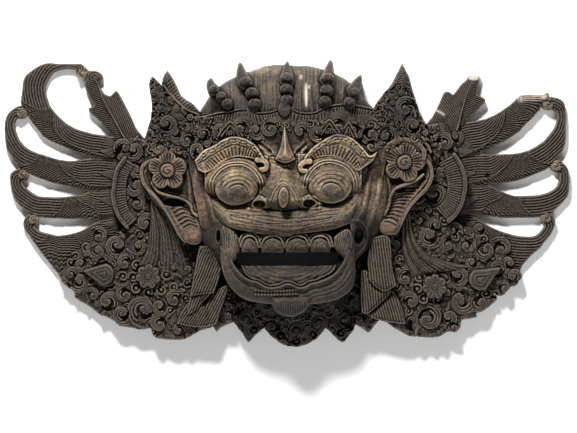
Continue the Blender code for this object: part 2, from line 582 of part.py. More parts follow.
def carve_brow(r, top, low, hand):
    """A brow that stands out over the lid and ends in a hook beside the nose."""
    smooth_top, smooth_low = curve(top), curve(low)
    win, d = r.within(np.vstack([smooth_top, smooth_low[::-1]]))
    over, along, side = r.from_line(smooth_top, win)
    under, along, side = r.from_line(smooth_low, win)
    form = 92 + 12 * ease(0.05 + under / (under + over + 0.01)) - 4 * (1 - round_over(d, 2.5))
    r.raise_to(win, form, d > 0, melt=4)
    x, y = low[-1]
    r.knob(x + hand * 2, y + 0.5, 6.5, 108, ry=5.6, lift=0.9, melt=3)


def carve_eye(r, x, y):
    """A bulging eye that looks down, under folds of the upper lid."""
    win = r.window(disc(x, y, EYE_SOCKET + 6), 0)
    X, Y = r.X[win], r.Y[win]
    radius = np.hypot(X - x, Y - y)
    r.top[win] -= 4 * np.exp(-((radius - EYE_SOCKET + 1) / 3.4) ** 2) * ease((Y - y) / 8)
    lid = 87 + 18 * np.sqrt(np.maximum(0, 1 - (radius / 31) ** 2)) - 24 * ease((Y - y + 6) / 16)
    r.raise_to(win, lid, lid > 0, melt=3)
    ball = 93 + 23 * np.sqrt(np.maximum(0, 1 - (radius / (EYEBALL + 1)) ** 2))
    iris = np.hypot(X - x - 1, (Y - y - 8) * 1.05)
    ball = ball + 2.0 * ease((IRIS - iris) / 1.0)
    r.raise_to(win, ball, radius < EYEBALL + 0.8, melt=1.5)
    r.top[win] += 3.2 * np.exp(-((radius - EYEBALL - 4) / 2) ** 2) * ease((y + 6 - Y) / 10)


def carve_mouth(r):
    gape = squares(MOUTH_GAPE)
    middle = (MOUTH_LEFT + MOUTH_RIGHT) / 2
    floor = LIPS_MEET + gape
    win, d = r.within(JAW)
    r.raise_to(win, 84 + 17 * round_over(d, 15), d > 0, melt=6)
    # The upper lip: a ledge under the eyes and nose, and a full lower edge
    r.swell(LEDGE, 4.2, 6)
    win, d = r.within(LIP)
    ends = 16 * ease((np.abs(r.X[win] - 286) - 38) / 40)
    r.raise_to(win, 90 + 20 * round_over(d, 9) - ends, d > 0, melt=6)
    # The mouth's inside falls back behind the teeth and the lower lip
    r.sink(MOUTH, 74, 2.4)
    win, d = r.within(TONGUE)
    r.raise_to(win, 90 + 9 * ease((r.Y[win] - floor) / 9), d > 0)
    for x, half in TEETH:
        tooth = loop([(x - half, LIPS_MEET), (x - half, LIPS_MEET - 8), (x - 0.5, LIPS_MEET - 14.5),
                      (x + half, LIPS_MEET - 8), (x + half, LIPS_MEET)],
                     [(x + half, LIPS_MEET), (x, LIPS_MEET + 0.5), (x - half, LIPS_MEET)])
        r.lay(tooth, 93, 105, 8, outline=False)
    # A fang hangs at each corner of the mouth, and a rim stands round the cheek's hole
    for fang in (LEFT_FANG, RIGHT_FANG):
        r.lay(fang, 88, 103, 6, outline=False)
    r.swell([(350, 222), (355, 219), (362, 223), (365.5, 233), (364, 244), (359, 251), (352, 254)],
            1.9, 6)
    r.sink(disc(357, 234.5, 4.6, 8.5), 66, 2.5)
    r.swell(LOWER_LIP, 2.6, 4.5)
    r.lay(CHIN_TAB, 90, 103, 7, outline=False)
    slot = loop([(MOUTH_LEFT, LIPS_MEET + gape / 2), (MOUTH_LEFT + 4, LIPS_MEET),
                 (middle, LIPS_MEET), (MOUTH_RIGHT - 4, LIPS_MEET),
                 (MOUTH_RIGHT, LIPS_MEET + gape / 2)],
                [(MOUTH_RIGHT, LIPS_MEET + gape / 2), (MOUTH_RIGHT - 5, floor),
                 (middle, floor), (MOUTH_LEFT + 5, floor),
                 (MOUTH_LEFT, LIPS_MEET + gape / 2)])
    r.pierce(slot)


def carve_beard(r):
    """Scrolled locks under the jaw, which rise from their tips towards the chin."""
    win, d = r.within(BEARD)
    r.edge[win] = np.maximum(r.edge[win], d)
    locks = 16 + 8 * round_over(d, 7) + 1.1 * np.clip(d, 0, 34)
    r.raise_to(win, locks, d > 0)
    carve_scrolls(r, BEARD_SCROLLS, 5)


def carve_holes(r):
    """The slit beside the jaw, the gap under the right tassel and a hole in a right feather."""
    r.pierce(loop([(356, 277), (358, 274), (359, 277)], [(359, 288), (357, 283)]))
    r.pierce(loop([(405, 325), (408, 317), (411, 319)], [(412, 330), (408, 329)]))
    r.pierce(disc(486, 174.5, 2.4))


def carve_front():
    r = Relief(squares(GRID))
    carve_wings(r)
    carve_scrolls(r, LEFT_SCROLLS + RIGHT_SCROLLS, 6)
    carve_collars(r)
    carve_beard(r)
    carve_crown(r)
    carve_scrolls(r, CROWN_ROSETTES, 6)
    carve_drapes(r)
    carve_ears(r)
    carve_tassels(r)
    carve_face(r)
    carve_mouth(r)
    carve_holes(r)
    return r


def hollow_back(r):
    """Heights of the back: flat, but for the hollow that follows the face from behind."""
    wall, rim = steps(WALL), squares(BACK_RIM)
    dx = (r.X - HOLLOW_X) / HOLLOW_HALF_WIDE
    dy = (r.Y - HOLLOW_Y) / np.where(r.Y < HOLLOW_Y, HOLLOW_Y - DOME_TOP - rim, HOLLOW_DOWN)
    span = (np.abs(dx) ** 2.4 + np.abs(dy) ** 2.4) ** (1 / 2.4)
    bowl = steps(HOLLOW_DEEP) * np.sqrt(np.maximum(0, 1 - span ** 2))
    return np.clip(np.minimum(bowl, lowest_nearby(r.top, r.gap) - wall), 0, None)


def lowest_nearby(heights, gap):
    """The lowest height within a few squares, so that the wall is kept under steep carving."""
    reach = max(1, int(round(squares(WALL) * 0.5 / gap)))
    low = heights.copy()
    for shift in range(1, reach + 1):
        for axis in (0, 1):
            for way in (-shift, shift):
                low = np.minimum(low, np.roll(heights, way, axis))
    return low


def solid_mesh(r, back):
    """One closed skin: the front, the back under it, and walls along the outline."""
    inside = r.edge > 0
    field = np.where(inside, np.maximum(r.edge, 0.14 * r.gap), np.minimum(r.edge, -0.14 * r.gap))
    number = {}
    place = []

    def vertex(key, x, y, top, low):
        if key not in number:
            number[key] = len(place)
            place.append((x, y, max(top, low + steps(THINNEST)), low))
        return number[key]

    def corner(j, i):
        return vertex((j, i), r.x[i], r.y[j], r.top[j, i], back[j, i])

    def crossing(j0, i0, j1, i1):
        if not inside[j0, i0]:
            j0, i0, j1, i1 = j1, i1, j0, i0
        t = field[j0, i0] / (field[j0, i0] - field[j1, i1])
        x = r.x[i0] + t * (r.x[i1] - r.x[i0])
        y = r.y[j0] + t * (r.y[j1] - r.y[j0])
        return vertex((j0, i0, j1, i1), x, y, r.top[j0, i0], back[j0, i0])

    faces = []
    used = inside[:-1, :-1] | inside[1:, :-1] | inside[:-1, 1:] | inside[1:, 1:]
    for j, i in zip(*np.nonzero(used)):
        ring = [(j, i), (j, i + 1), (j + 1, i + 1), (j + 1, i)]
        flags = [bool(inside[c]) for c in ring]
        shape = []
        for k in range(4):
            a, b = ring[k], ring[(k + 1) % 4]
            if flags[k]:
                shape.append(corner(*a))
            if flags[k] != flags[(k + 1) % 4]:
                shape.append(crossing(*a, *b))
        if flags in ([True, False, True, False], [False, True, False, True]):
            halves = [shape[0:3], shape[3:6]] if not flags[0] else [[shape[5], *shape[0:2]],
                                                                    shape[2:5]]
            faces.extend(halves)
        else:
            faces.append(shape)
    return place, faces


def build_mask():
    r = carve_front()
    back = hollow_back(r)
    place, faces = solid_mesh(r, back)
    spots = np.array(place)
    x = (spots[:, 0] - MIDDLE_X) * SQUARE
    y = (MIDDLE_Y - spots[:, 1]) * SQUARE
    front = np.stack([x, y, spots[:, 2] * STEP], 1)
    rear = np.stack([x, y, spots[:, 3] * STEP], 1)
    count = len(spots)
    skin = [face[::-1] for face in faces]
    under = [[v + count for v in face] for face in faces]
    ways = {}
    for face in skin:
        for a, b in zip(face, face[1:] + face[:1]):
            ways[(a, b)] = True
    walls = [[b, a, a + count, b + count] for a, b in ways if (b, a) not in ways]
    mesh = bpy.data.meshes.new("barong_mask")
    mesh.from_pydata(np.vstack([front, rear]).tolist(), [], skin + under + walls)
    mask = bpy.data.objects.new("barong_mask", mesh)
    bpy.context.scene.collection.objects.link(mask)
    return mask


def thin_out(mask):
    """Fewer, larger faces where the wood is smooth, with the flat back kept flat at zero."""
    mask.data.calc_loop_triangles()
    thin = mask.modifiers.new("Decimate", "DECIMATE")
    thin.ratio = TRIANGLES / len(mask.data.loop_triangles)
    ready = bpy.context.evaluated_depsgraph_get()
    mesh = bpy.data.meshes.new_from_object(mask.evaluated_get(ready))
    mask.modifiers.clear()
    mask.data = mesh
    spots = np.empty(len(mesh.vertices) * 3)
    mesh.vertices.foreach_get("co", spots)
    spots = spots.reshape(-1, 3)
    spots[spots[:, 2] < FLAT_WITHIN, 2] = 0
    low, high = spots.min(0), spots.max(0)
    spots[:, :2] -= (low[:2] + high[:2]) / 2
    mesh.vertices.foreach_set("co", spots.ravel())
    mesh.update()


def wood():
    material = bpy.data.materials.new("carved_hardwood")
    material.use_nodes = True
    shader = material.node_tree.nodes["Principled BSDF"]
    shader.inputs["Base Color"].default_value = (0.075, 0.055, 0.042, 1)
    shader.inputs["Roughness"].default_value = 0.62
    shader.inputs["Metallic"].default_value = 0.0
    return material


for old in list(bpy.data.objects):
    bpy.data.objects.remove(old, do_unlink=True)
mask = build_mask()
thin_out(mask)
mask.data.materials.append(wood())
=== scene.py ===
"""Looks of the barong mask: finely carved, worn hardwood, lying on a pale floor."""

import bpy
import numpy as np
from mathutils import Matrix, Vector


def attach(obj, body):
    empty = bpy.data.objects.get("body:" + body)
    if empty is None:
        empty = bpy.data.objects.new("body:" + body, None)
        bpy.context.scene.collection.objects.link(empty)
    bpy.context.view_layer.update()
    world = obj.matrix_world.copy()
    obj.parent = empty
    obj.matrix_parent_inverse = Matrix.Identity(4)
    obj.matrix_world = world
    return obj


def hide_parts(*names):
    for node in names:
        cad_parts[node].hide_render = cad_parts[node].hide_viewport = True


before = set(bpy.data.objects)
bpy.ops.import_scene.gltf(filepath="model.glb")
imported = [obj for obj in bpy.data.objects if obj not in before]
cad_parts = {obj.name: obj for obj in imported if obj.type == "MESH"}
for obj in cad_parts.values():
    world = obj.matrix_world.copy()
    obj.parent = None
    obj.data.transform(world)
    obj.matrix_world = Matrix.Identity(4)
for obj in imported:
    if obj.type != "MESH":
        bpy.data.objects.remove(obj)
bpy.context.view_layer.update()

WIDTH = 0.800            # over the feather tips
DEPTH = 0.186            # flat back to the knob of the nose
HOLLOW_DEEP = 0.088      # depth of the hollow behind the face
WALL = 0.016             # least wood left over the hollow under deep carving
BACK_RIM = 0.020         # flat rim between the hollow and the edge of the crown
FEATHER_EDGE = 0.012     # thickness of a feather at its edge
FEATHER_CROWN = 0.009    # how far a feather's back rises above its edge
MOUTH_GAPE = 0.0185      # clear height of the open mouth
THINNEST = 0.0045        # least thickness anywhere
GRID = 0.00075    # spacing of the carved surface's points
PIECES = 5               # meshes that the front is made in, side by side

SQUARES_WIDE = 562.0
STEPS_DEEP = 130.0
SQUARE = WIDTH / SQUARES_WIDE
STEP = DEPTH / STEPS_DEEP
MIDDLE_X, MIDDLE_Y = 287.0, 204.0           # the mask's middle on the pattern
FIELD_WIDE, FIELD_TOP, FIELD_LOW = 576, 56, 352     # what the carving's grid covers
PHOTO_WIDE, PHOTO_HIGH = 577, 433           # the photograph's frame, in pattern squares
FACE_X = 286             # the face's own middle
FAR = 999.0              # farther away than anything
NOISE_CELLS = 80         # random values on each side of a noise table


def squares(metres):
    return metres / SQUARE


def steps(metres):
    return metres / STEP


def curve(points, pieces=5):
    """A smooth line through the points."""
    p = np.asarray(points, float)
    if len(p) < 3:
        return p
    ends = np.vstack([2 * p[0] - p[1], p, 2 * p[-1] - p[-2]])
    t = np.linspace(0, 1, pieces, endpoint=False)[:, None]
    out = []
    for a, b, c, d in zip(ends[:-3], ends[1:-2], ends[2:-1], ends[3:]):
        out.append(0.5 * (2 * b + (c - a) * t + (2 * a - 5 * b + 4 * c - d) * t ** 2
                          + (3 * b - a - 3 * c + d) * t ** 3))
    return np.vstack(out + [p[-1:]])


def loop(*runs):
    """A closed outline: smooth along each run of points, with a corner where two runs meet."""
    return np.vstack([curve(run) for run in runs])


def disc(x, y, rx, ry=None, sides=28):
    a = np.linspace(0, 2 * np.pi, sides, endpoint=False)
    return np.stack([x + rx * np.cos(a), y + (ry or rx) * np.sin(a)], 1)


def round_over(d, radius):
    """0 at an edge, rising as a quarter circle to 1 where the edge is a radius away."""
    return bow(1 - np.clip(d / radius, 0, 1))


def ease(t):
    t = np.clip(t, 0, 1)
    return t * t * (3 - 2 * t)


def bell(t):
    """1 at the middle, falling softly to 0 on both sides."""
    return np.exp(-t ** 2)


def bow(t):
    """A quarter circle: 1 at the middle and 0 from 1 on."""
    return np.sqrt(np.maximum(0, 1 - t * t))


def polar(x, y, reach, angle):
    return x + reach * np.cos(angle), y + reach * np.sin(angle)


def ridges(phase):
    """Rounded ridges with sharp cuts between them: 0 in a cut, 1 on a ridge."""
    return np.abs(np.sin(np.pi * phase))


def noise(X, Y, size, seed):
    """Smooth random heights from -1 to 1 that change over this many squares."""
    n = NOISE_CELLS
    table = np.random.RandomState(seed).uniform(-1, 1, (n, n))
    u, v = X / size + 7.3, Y / size + 3.1
    i, j = np.floor(u).astype(int), np.floor(v).astype(int)
    a, b = ease(u - i), ease(v - j)
    i, j, i1, j1 = i % n, j % n, (i + 1) % n, (j + 1) % n
    upper = table[j, i] * (1 - a) + table[j, i1] * a
    lower = table[j1, i] * (1 - a) + table[j1, i1] * a
    return upper * (1 - b) + lower * b


def blur(field, reach):
    for axis in (0, 1):
        pads = [(reach + 1, reach) if a == axis else (0, 0) for a in (0, 1)]
        total = np.cumsum(np.pad(field, pads, mode="edge"), axis=axis)
        n = total.shape[axis]
        ahead = np.take(total, range(2 * reach + 1, n), axis)
        behind = np.take(total, range(0, n - 2 * reach - 1), axis)
        field = (ahead - behind) / (2 * reach + 1)
    return field


class Relief:
    """Outline, heights and tints of the carving over the squares of the pattern."""

    def __init__(self, spacing):
        self.gap = spacing
        self.x = np.arange(0, FIELD_WIDE, spacing)
        self.y = np.arange(FIELD_TOP, FIELD_LOW, spacing)
        X, Y = np.meshgrid(self.x, self.y)
        self.X = X + 0.45 * noise(X, Y, 13, 1) + 0.2 * noise(X, Y, 5, 2)
        self.Y = Y + 0.45 * noise(X, Y, 13, 3) + 0.2 * noise(X, Y, 5, 4)
        self.edge = np.full(X.shape, -FAR)
        self.top = np.zeros(X.shape)
        self.tan, self.red, self.soot, self.pale = (np.zeros(X.shape) for _ in range(4))

    def window(self, points, margin):
        low = np.min(points, 0) - margin
        high = np.max(points, 0) + margin
        i0, i1 = np.searchsorted(self.x, (low[0], high[0]))
        j0, j1 = np.searchsorted(self.y, (low[1], high[1]))
        return slice(j0, j1), slice(i0, i1)

    def to_line(self, points, margin):
        """Window, distance to an open line, share of its length, and side of it."""
        win = self.window(points, margin)
        return win, *self.from_line(points, self.X[win], self.Y[win])

    def from_line(self, points, X, Y):
        best = np.full(X.shape, FAR)
        along = np.zeros(X.shape)
        side = np.ones(X.shape)
        run = 0.0
        for (ax, ay), (bx, by) in zip(points[:-1], points[1:]):
            dx, dy = bx - ax, by - ay
            size = max(np.hypot(dx, dy), 1e-9)
            t = np.clip(((X - ax) * dx + (Y - ay) * dy) / size ** 2, 0, 1)
            d = np.hypot(X - ax - t * dx, Y - ay - t * dy)
            near = d < best
            best = np.where(near, d, best)
            along = np.where(near, run + t * size, along)
            side = np.where(near, np.sign(dx * (Y - ay) - dy * (X - ax)), side)
            run += size
        return best, along / run, side

    def within(self, points, margin=3.0):
        """Window, and the depth inside a closed outline, below zero outside it."""
        closed = np.vstack([points, points[:1]])
        win, d, _, _ = self.to_line(closed, margin)
        X, Y = self.X[win], self.Y[win]
        odd = np.zeros(X.shape, bool)
        for (ax, ay), (bx, by) in zip(closed[:-1], closed[1:]):
            if ay != by:
                crosses = (ay > Y) != (by > Y)
                odd ^= crosses & (X < ax + (Y - ay) * (bx - ax) / (by - ay))
        return win, np.where(odd, d, -d)

    def spread(self, points):
        """As within; the area inside also becomes part of the mask's outline."""
        win, d = self.within(points)
        self.edge[win] = np.maximum(self.edge[win], d)
        return win, d

    def raise_to(self, win, form, where, melt=0.0):
        """The higher of what is there and the form, filleted over this height where they meet."""
        keep = self.top[win]
        both = np.maximum(keep, form)
        if melt:
            both = both + melt / 4 * np.maximum(0, 1 - np.abs(keep - form) / melt) ** 2
        self.top[win] = np.where(where, both, keep)

    def swell(self, points, width, rise, taper=0.0):
        """A soft ridge along a line, added to what is there."""
        win, d, along, _ = self.to_line(curve(points), width * 2.6)
        ends = ease(along * 8) * ease((1 - along) * 8) if taper else 1
        self.top[win] += rise * bell(d / width) * (1 - taper + taper * ends)

    def bulge(self, x, y, radius, rise, ry=None):
        """A soft mound added to what is there."""
        win = self.window(disc(x, y, radius * 2.4, (ry or radius) * 2.4), 0)
        away = np.hypot((self.X[win] - x) / radius, (self.Y[win] - y) / (ry or radius))
        self.top[win] += rise * bell(away)

    def lay(self, points, low, high, radius, outline=True, cuts=()):
        """Lay a form whose edge stands at low and rounds up to high, with cuts along its edge."""
        win, d = self.spread(points) if outline else self.within(points)
        form = low + (high - low) * round_over(d, radius)
        for inset in cuts:
            form = form - 1.3 * bell((d - inset) / 0.6)
        self.raise_to(win, form, d > 0)

    def rib(self, points, width, low, high, taper=0.0, melt=0.0):
        """A rounded strand along a line, as heights; low and high are at its start and end."""
        win, d, along, _ = self.to_line(curve(points), width + 1)
        half = width * (1 - taper * along)
        form = low + (high - low) * along - half * (1 - round_over(half - d, half))
        self.raise_to(win, form, d < half, melt)

    def knob(self, x, y, radius, height, ry=None, lift=1.0, melt=0.0):
        """A rounded boss with its top at this height."""
        win = self.window(disc(x, y, radius, ry), 1)
        r = np.hypot((self.X[win] - x) / radius, (self.Y[win] - y) / (ry or radius))
        form = height - lift * radius * (1 - bow(r))
        self.raise_to(win, form, r < 1, melt)

    def groove(self, points, width, depth, taper=0.0):
        """A cut along a line."""
        win, d, along, _ = self.to_line(curve(points), width * 3)
        half = width * (1 - taper * along)
        self.top[win] -= depth * bell(d / half)

    def sink(self, points, floor, radius):
        """Cut a hollow whose floor stands at this height."""
        win, d = self.within(points)
        keep = self.top[win]
        cut = keep + (floor - keep) * round_over(d, radius)
        self.top[win] = np.where(d > 0, np.minimum(keep, cut), keep)

    def pierce(self, points):
        """An opening right through the wood."""
        win, d = self.within(points)
        self.edge[win] = np.minimum(self.edge[win], -d)

    def tint(self, field, points, amount, soft=3.0):
        win, d = self.within(points, soft)
        field[win] = np.maximum(field[win], amount * ease(0.5 + 0.5 * d / soft))

    def height(self, x, y):
        j = int(np.clip(np.searchsorted(self.y, y), 0, len(self.y) - 1))
        i = int(np.clip(np.searchsorted(self.x, x), 0, len(self.x) - 1))
        return self.top[j, i]


# Feathers: the upper edge runs from the root to the curl, the outer edge from the curl back
FEATHERS = {
    "left 1": ([(125, 140), (113, 136), (90, 132), (72, 126), (60, 117), (50, 105), (46, 92),
                (46, 84), (52, 73), (60, 69), (68, 68), (75, 69)],
               [(75, 69), (77, 75), (83, 78), (88, 76), (90, 71)],
               [(90, 71), (85, 66), (80, 63), (60, 63), (44, 63), (31, 70), (24, 79), (21, 97),
                (21, 104), (27, 115), (40, 132), (50, 140), (70, 149), (91, 157), (125, 166)]),
    "left 2": ([(128, 160), (110, 158), (91, 157), (70, 160), (50, 156), (30, 149), (20, 140),
                (16, 130), (15, 123), (17, 118)],
               [(17, 118), (24, 118), (27, 113), (24, 107), (21, 105)],
               [(21, 105), (15, 107), (8, 113), (5, 122), (5, 132), (6, 145), (9, 152), (14, 160),
                (21, 168), (30, 173), (50, 181), (70, 186), (90, 190), (122, 190)]),
    "left 3": ([(124, 186), (105, 188), (90, 190), (80, 194), (60, 196), (40, 195), (30, 190),
                (24, 185), (23, 181)],
               [(23, 181), (28, 179), (29, 172), (22, 168), (19, 167)],
               [(19, 167), (12, 171), (10, 177), (12, 190), (15, 199), (20, 205), (28, 212),
                (39, 216), (60, 218), (80, 218), (98, 219), (124, 216)]),
    "left 4": ([(128, 210), (112, 214), (98, 220), (80, 230), (60, 234), (50, 233), (40, 230),
                (35, 226)],
               [(35, 226), (38, 222), (39, 216), (33, 213), (28, 213)],
               [(28, 213), (24, 218), (23, 224), (26, 230), (40, 250), (50, 263), (60, 274),
                (80, 284), (112, 262), (128, 240)]),
    "right 1": ([(445, 140), (455, 126), (464, 122), (485, 118), (505, 107), (512, 101), (518, 95),
                 (524, 94), (541, 94)],
                [(541, 94), (547, 92), (547, 97), (543, 103)],
                [(543, 103), (536, 112), (525, 123), (515, 133), (500, 142), (479, 153),
                 (450, 166)]),
    "right 2": ([(446, 160), (462, 155), (479, 153), (490, 154), (510, 153), (525, 150),
                 (538, 143), (547, 135), (553, 127), (556, 118), (555, 112), (551, 109)],
                [(551, 109), (545, 109), (540, 105), (544, 98), (550, 96)],
                [(550, 96), (558, 98), (563, 103), (565, 115), (565, 130), (564, 143), (560, 152),
                 (553, 160), (549, 166), (530, 175), (510, 181), (486, 184), (452, 190)]),
    "right 3": ([(455, 183), (486, 184), (500, 190), (510, 194), (525, 195), (538, 194),
                 (548, 191), (555, 186), (558, 180), (558, 173)],
                [(558, 173), (551, 170), (548, 164), (554, 160), (558, 159)],
                [(558, 159), (566, 166), (568, 175), (568, 185), (566, 195), (560, 203),
                 (550, 212), (540, 216), (510, 217), (490, 216), (469, 214), (450, 216)]),
    "right 4": ([(450, 210), (469, 214), (480, 220), (495, 228), (508, 233), (520, 235),
                 (535, 234), (543, 225)],
                [(543, 225), (540, 217), (543, 212), (550, 211)],
                [(550, 211), (554, 221), (552, 228), (548, 235), (540, 245), (530, 255),
                 (520, 267), (512, 285), (480, 275), (450, 240)]),
}

LEAVES = {
    "left": ([(150, 160), (113, 140), (113, 135), (108, 130), (100, 121), (90, 112), (88, 108)],
             [(88, 108), (94, 105), (90, 98), (87, 90), (85, 84), (87, 79)],
             [(87, 79), (87, 72), (94, 70), (101, 73), (103, 78), (98, 82), (100, 88), (104, 93)],
             [(104, 93), (110, 95), (116, 90), (121, 97), (131, 117), (137, 129), (146, 139)]),
    "right": ([(420, 150), (425, 125), (432, 115), (437, 105), (441, 96), (443, 92), (447, 91),
               (452, 94)],
              [(452, 94), (460, 84), (465, 79), (467, 75)],
              [(467, 75), (479, 75)],
              [(479, 75), (477, 86), (476, 94)],
              [(476, 94), (480, 96), (484, 99), (483, 103), (478, 108), (464, 122), (450, 150)]),
}
LEAF_RIBS = {"left": [(128, 142), (116, 122), (104, 100), (95, 78)],
             "right": [(452, 142), (458, 120), (464, 98), (472, 78)]}

LEFT_PANEL = loop(
    [(146, 139), (128, 138), (119, 158), (114, 186), (116, 206), (126, 224), (110, 236),
     (92, 240), (80, 247), (70, 260), (58, 272)],
    [(58, 272), (63, 282), (72, 288), (76, 291), (75, 295), (80, 300), (88, 304), (99, 312),
     (110, 317), (115, 320), (120, 324), (130, 326), (140, 328), (151, 327)],
    [(151, 327), (155, 335), (165, 337), (183, 338), (200, 329), (213, 325)],
    [(213, 325), (217, 330), (221, 326), (233, 321)],
    [(233, 321), (260, 250), (240, 180), (170, 130)])
RIGHT_PANEL = loop(
    [(425, 125), (442, 122), (452, 136), (458, 158), (464, 182), (461, 200), (450, 220),
     (472, 226), (490, 238), (505, 252), (517, 269)],
    [(517, 269), (520, 276), (513, 283), (508, 287), (502, 294), (495, 294)],
    [(495, 294), (495, 299), (483, 309), (475, 312)],
    [(475, 312), (475, 316), (460, 318)],
    [(460, 318), (459, 325), (455, 330), (447, 330), (437, 335), (428, 336), (415, 335),
     (407, 334), (395, 327), (385, 320), (378, 318)],
    [(378, 318), (371, 327), (367, 331), (362, 327), (355, 323)],
    [(355, 323), (330, 250), (350, 180), (400, 120)])
BEARD = loop(
    [(233, 321), (241, 330), (245, 336), (248, 341)],
    [(248, 341), (253, 336), (258, 331), (264, 326)],
    [(264, 326), (268, 331), (275, 338), (283, 343), (295, 345), (305, 343), (313, 339),
     (320, 333), (325, 327)],
    [(325, 327), (330, 331), (337, 338), (342, 341)],
    [(342, 341), (347, 335), (352, 328), (355, 323)],
    [(355, 323), (350, 250), (225, 250)])

DOME = loop([(199, 112), (205, 103), (208, 98), (220, 85), (238, 75), (255, 69), (270, 65),
             (300, 65), (320, 68), (334, 73), (350, 83), (365, 100), (373, 108)],
            [(373, 108), (372, 150), (200, 150)])
PEAKS = [
    loop([(146, 165), (146, 139), (151, 122), (153, 108), (151, 93), (150, 84), (152, 77)],
         [(152, 77), (156, 79), (163, 86), (172, 98), (180, 106), (192, 113), (205, 117),
          (215, 117)],
         [(215, 117), (212, 150)]),
    loop([(164, 100), (163, 84), (165, 76), (168, 71)],
         [(168, 71), (173, 78), (181, 95), (192, 103), (199, 110)],
         [(199, 110), (199, 125), (175, 118)]),
    loop([(366, 130), (373, 107), (380, 96), (390, 84), (395, 75), (401, 64)],
         [(401, 64), (404, 71), (408, 80), (412, 96), (416, 108), (420, 117), (425, 125)],
         [(425, 125), (420, 160), (380, 160)])]

# Each crown point: the line of its claw up to the tip, and its beads from the claw down
FINIALS = [([(214, 91), (211.5, 86), (211, 80)], [(214.6, 92), (222, 98.5), (228, 105.5)], 5.5),
           ([(245, 84), (242, 75), (240.5, 64)], [(246, 84.5), (252, 95), (255, 106)], 6.5),
           ([(286.5, 82), (286.5, 73), (286.5, 63)], [(286.5, 80.5), (286, 91.5), (286, 102)], 6.5),
           ([(326, 82), (328, 73), (329.5, 62)], [(326.5, 80.5), (325, 92.5), (324, 103.5)], 6.5),
           ([(352, 92), (356, 84), (359.5, 77)], [(352.5, 95), (348, 104)], 6.0)]
CROWN_EDGE = [(190, 118), (205, 116), (225, 112), (245, 109), (260, 113), (275, 111), (286, 105),
              (297, 112), (312, 113), (326, 107), (345, 104), (372, 109), (384, 116)]
CROWN_BAND = loop(CROWN_EDGE, [(384, 116), (390, 135), (384, 166), (286, 166), (188, 166),
                               (184, 140), (190, 118)])

FACE = loop([(200, 152), (215, 140), (234, 134), (262, 138), (285, 136), (312, 138), (339, 134),
             (360, 142), (374, 152)],
            [(374, 152), (385, 175), (386, 200), (380, 225), (368, 245), (352, 262), (350, 273),
             (342, 289), (318, 297)],
            [(318, 297), (300, 302), (280, 302), (262, 299)],
            [(262, 299), (246, 297), (231, 285), (218, 261), (203, 240), (196, 215), (194, 190),
             (196, 165)])
LEFT_EYE, RIGHT_EYE = (237.0, 187.0), (328.5, 185.0)
EYE_SOCKET = 25.0
EYEBALL = 20.5
IRIS = 11.0
# Each brow: the line of its top, and the line over the lid on which its rays end
BROWS = [([(196, 161), (204, 151.5), (213, 147), (222, 141.5), (233, 137.5), (244, 139), (254, 144),
           (260, 151), (264, 159)],
          [(200, 170), (207, 172.5), (214, 169), (221, 163.5), (229, 159), (238, 157), (247, 158),
           (256, 160), (262, 164)]),
         ([(376, 151), (368, 156), (361, 149), (352, 140.5), (343, 136), (333, 135), (322, 141),
           (312, 148), (303, 158)],
          [(371, 161), (364, 166), (356, 171), (349, 166), (340, 160), (330, 157), (320, 157.5),
           (312, 160), (304, 165)])]
HORN = loop([(274, 160), (279, 150), (281.5, 138), (284, 124.5)],
            [(284, 124.5), (287, 138), (290.5, 150), (295, 160)],
            [(295, 160), (284.5, 163.5), (274, 160)])
NOSE = loop([(275, 150), (271, 166), (267, 178), (261, 188), (252, 194), (247, 201), (248.5, 209)],
            [(248.5, 209), (262, 213), (285, 215), (306, 212.5), (322, 208)],
            [(322, 208), (323.5, 200), (316, 193), (307, 187), (300, 177), (297, 164), (294, 150)])
NOSE_KNOB = (283.0, 197.0)
NOSTRILS = [(258.0, 203.0), (309.5, 202.0)]
LIP = loop([(212, 204), (232, 207), (250, 209), (268, 212), (286, 213), (303, 211), (320, 208),
            (337, 206), (356, 201)],
           [(356, 201), (353, 214), (346, 222.5), (334, 227.5), (318, 230.5), (300, 232.5),
            (284, 235.5), (268, 233.5), (252, 231), (238, 229), (227, 225.5), (217, 217),
            (212, 204)])
LEDGE = [(204, 198), (217, 204), (232, 208), (250, 210.5), (268, 213.5), (285, 214.5), (302, 212.5),
         (320, 209.5), (336, 207), (350, 201), (358, 194)]
CHEEK_FOLDS = [[(201, 172), (205, 186), (209, 200), (213, 214), (216, 226)],
               [(371, 164), (367, 182), (364, 200), (360, 212), (354, 222)],
               [(379, 172), (377, 190), (373, 206), (368, 224), (364, 240)]]
TEETH = [(250.0, 8.0), (272.5, 11.0), (296.5, 11.0), (319.0, 9.5)]
LIPS_MEET = 250.5        # the pattern line on which the upper teeth end
MOUTH_LEFT, MOUTH_RIGHT = 237.0, 337.0
JAW = loop([(221, 244), (221, 258), (224, 272), (230, 284), (239, 293), (250, 298), (264, 300.5)],
           [(264, 300.5), (286, 302), (308, 301.5)],
           [(308, 301.5), (326, 299.5), (341, 294), (350, 286), (353.5, 272), (353, 258),
            (352, 244)], [(352, 244), (286, 238), (221, 244)])
MOUTH = loop([(226, 225), (238, 228), (252, 231), (268, 233), (284, 235), (300, 232), (318, 230),
              (334, 227), (348, 222)],
             [(348, 222), (350, 240), (343, 257), (337, 267), (328, 274.5), (318, 278.5),
              (310, 280.5), (303, 284), (297, 284.5), (291, 281.5), (285, 280.5), (279, 283),
              (271, 284.5), (264, 282.5), (258, 279), (251, 277.5), (243, 273.5), (237, 266),
              (232, 256), (226, 240), (226, 225)])
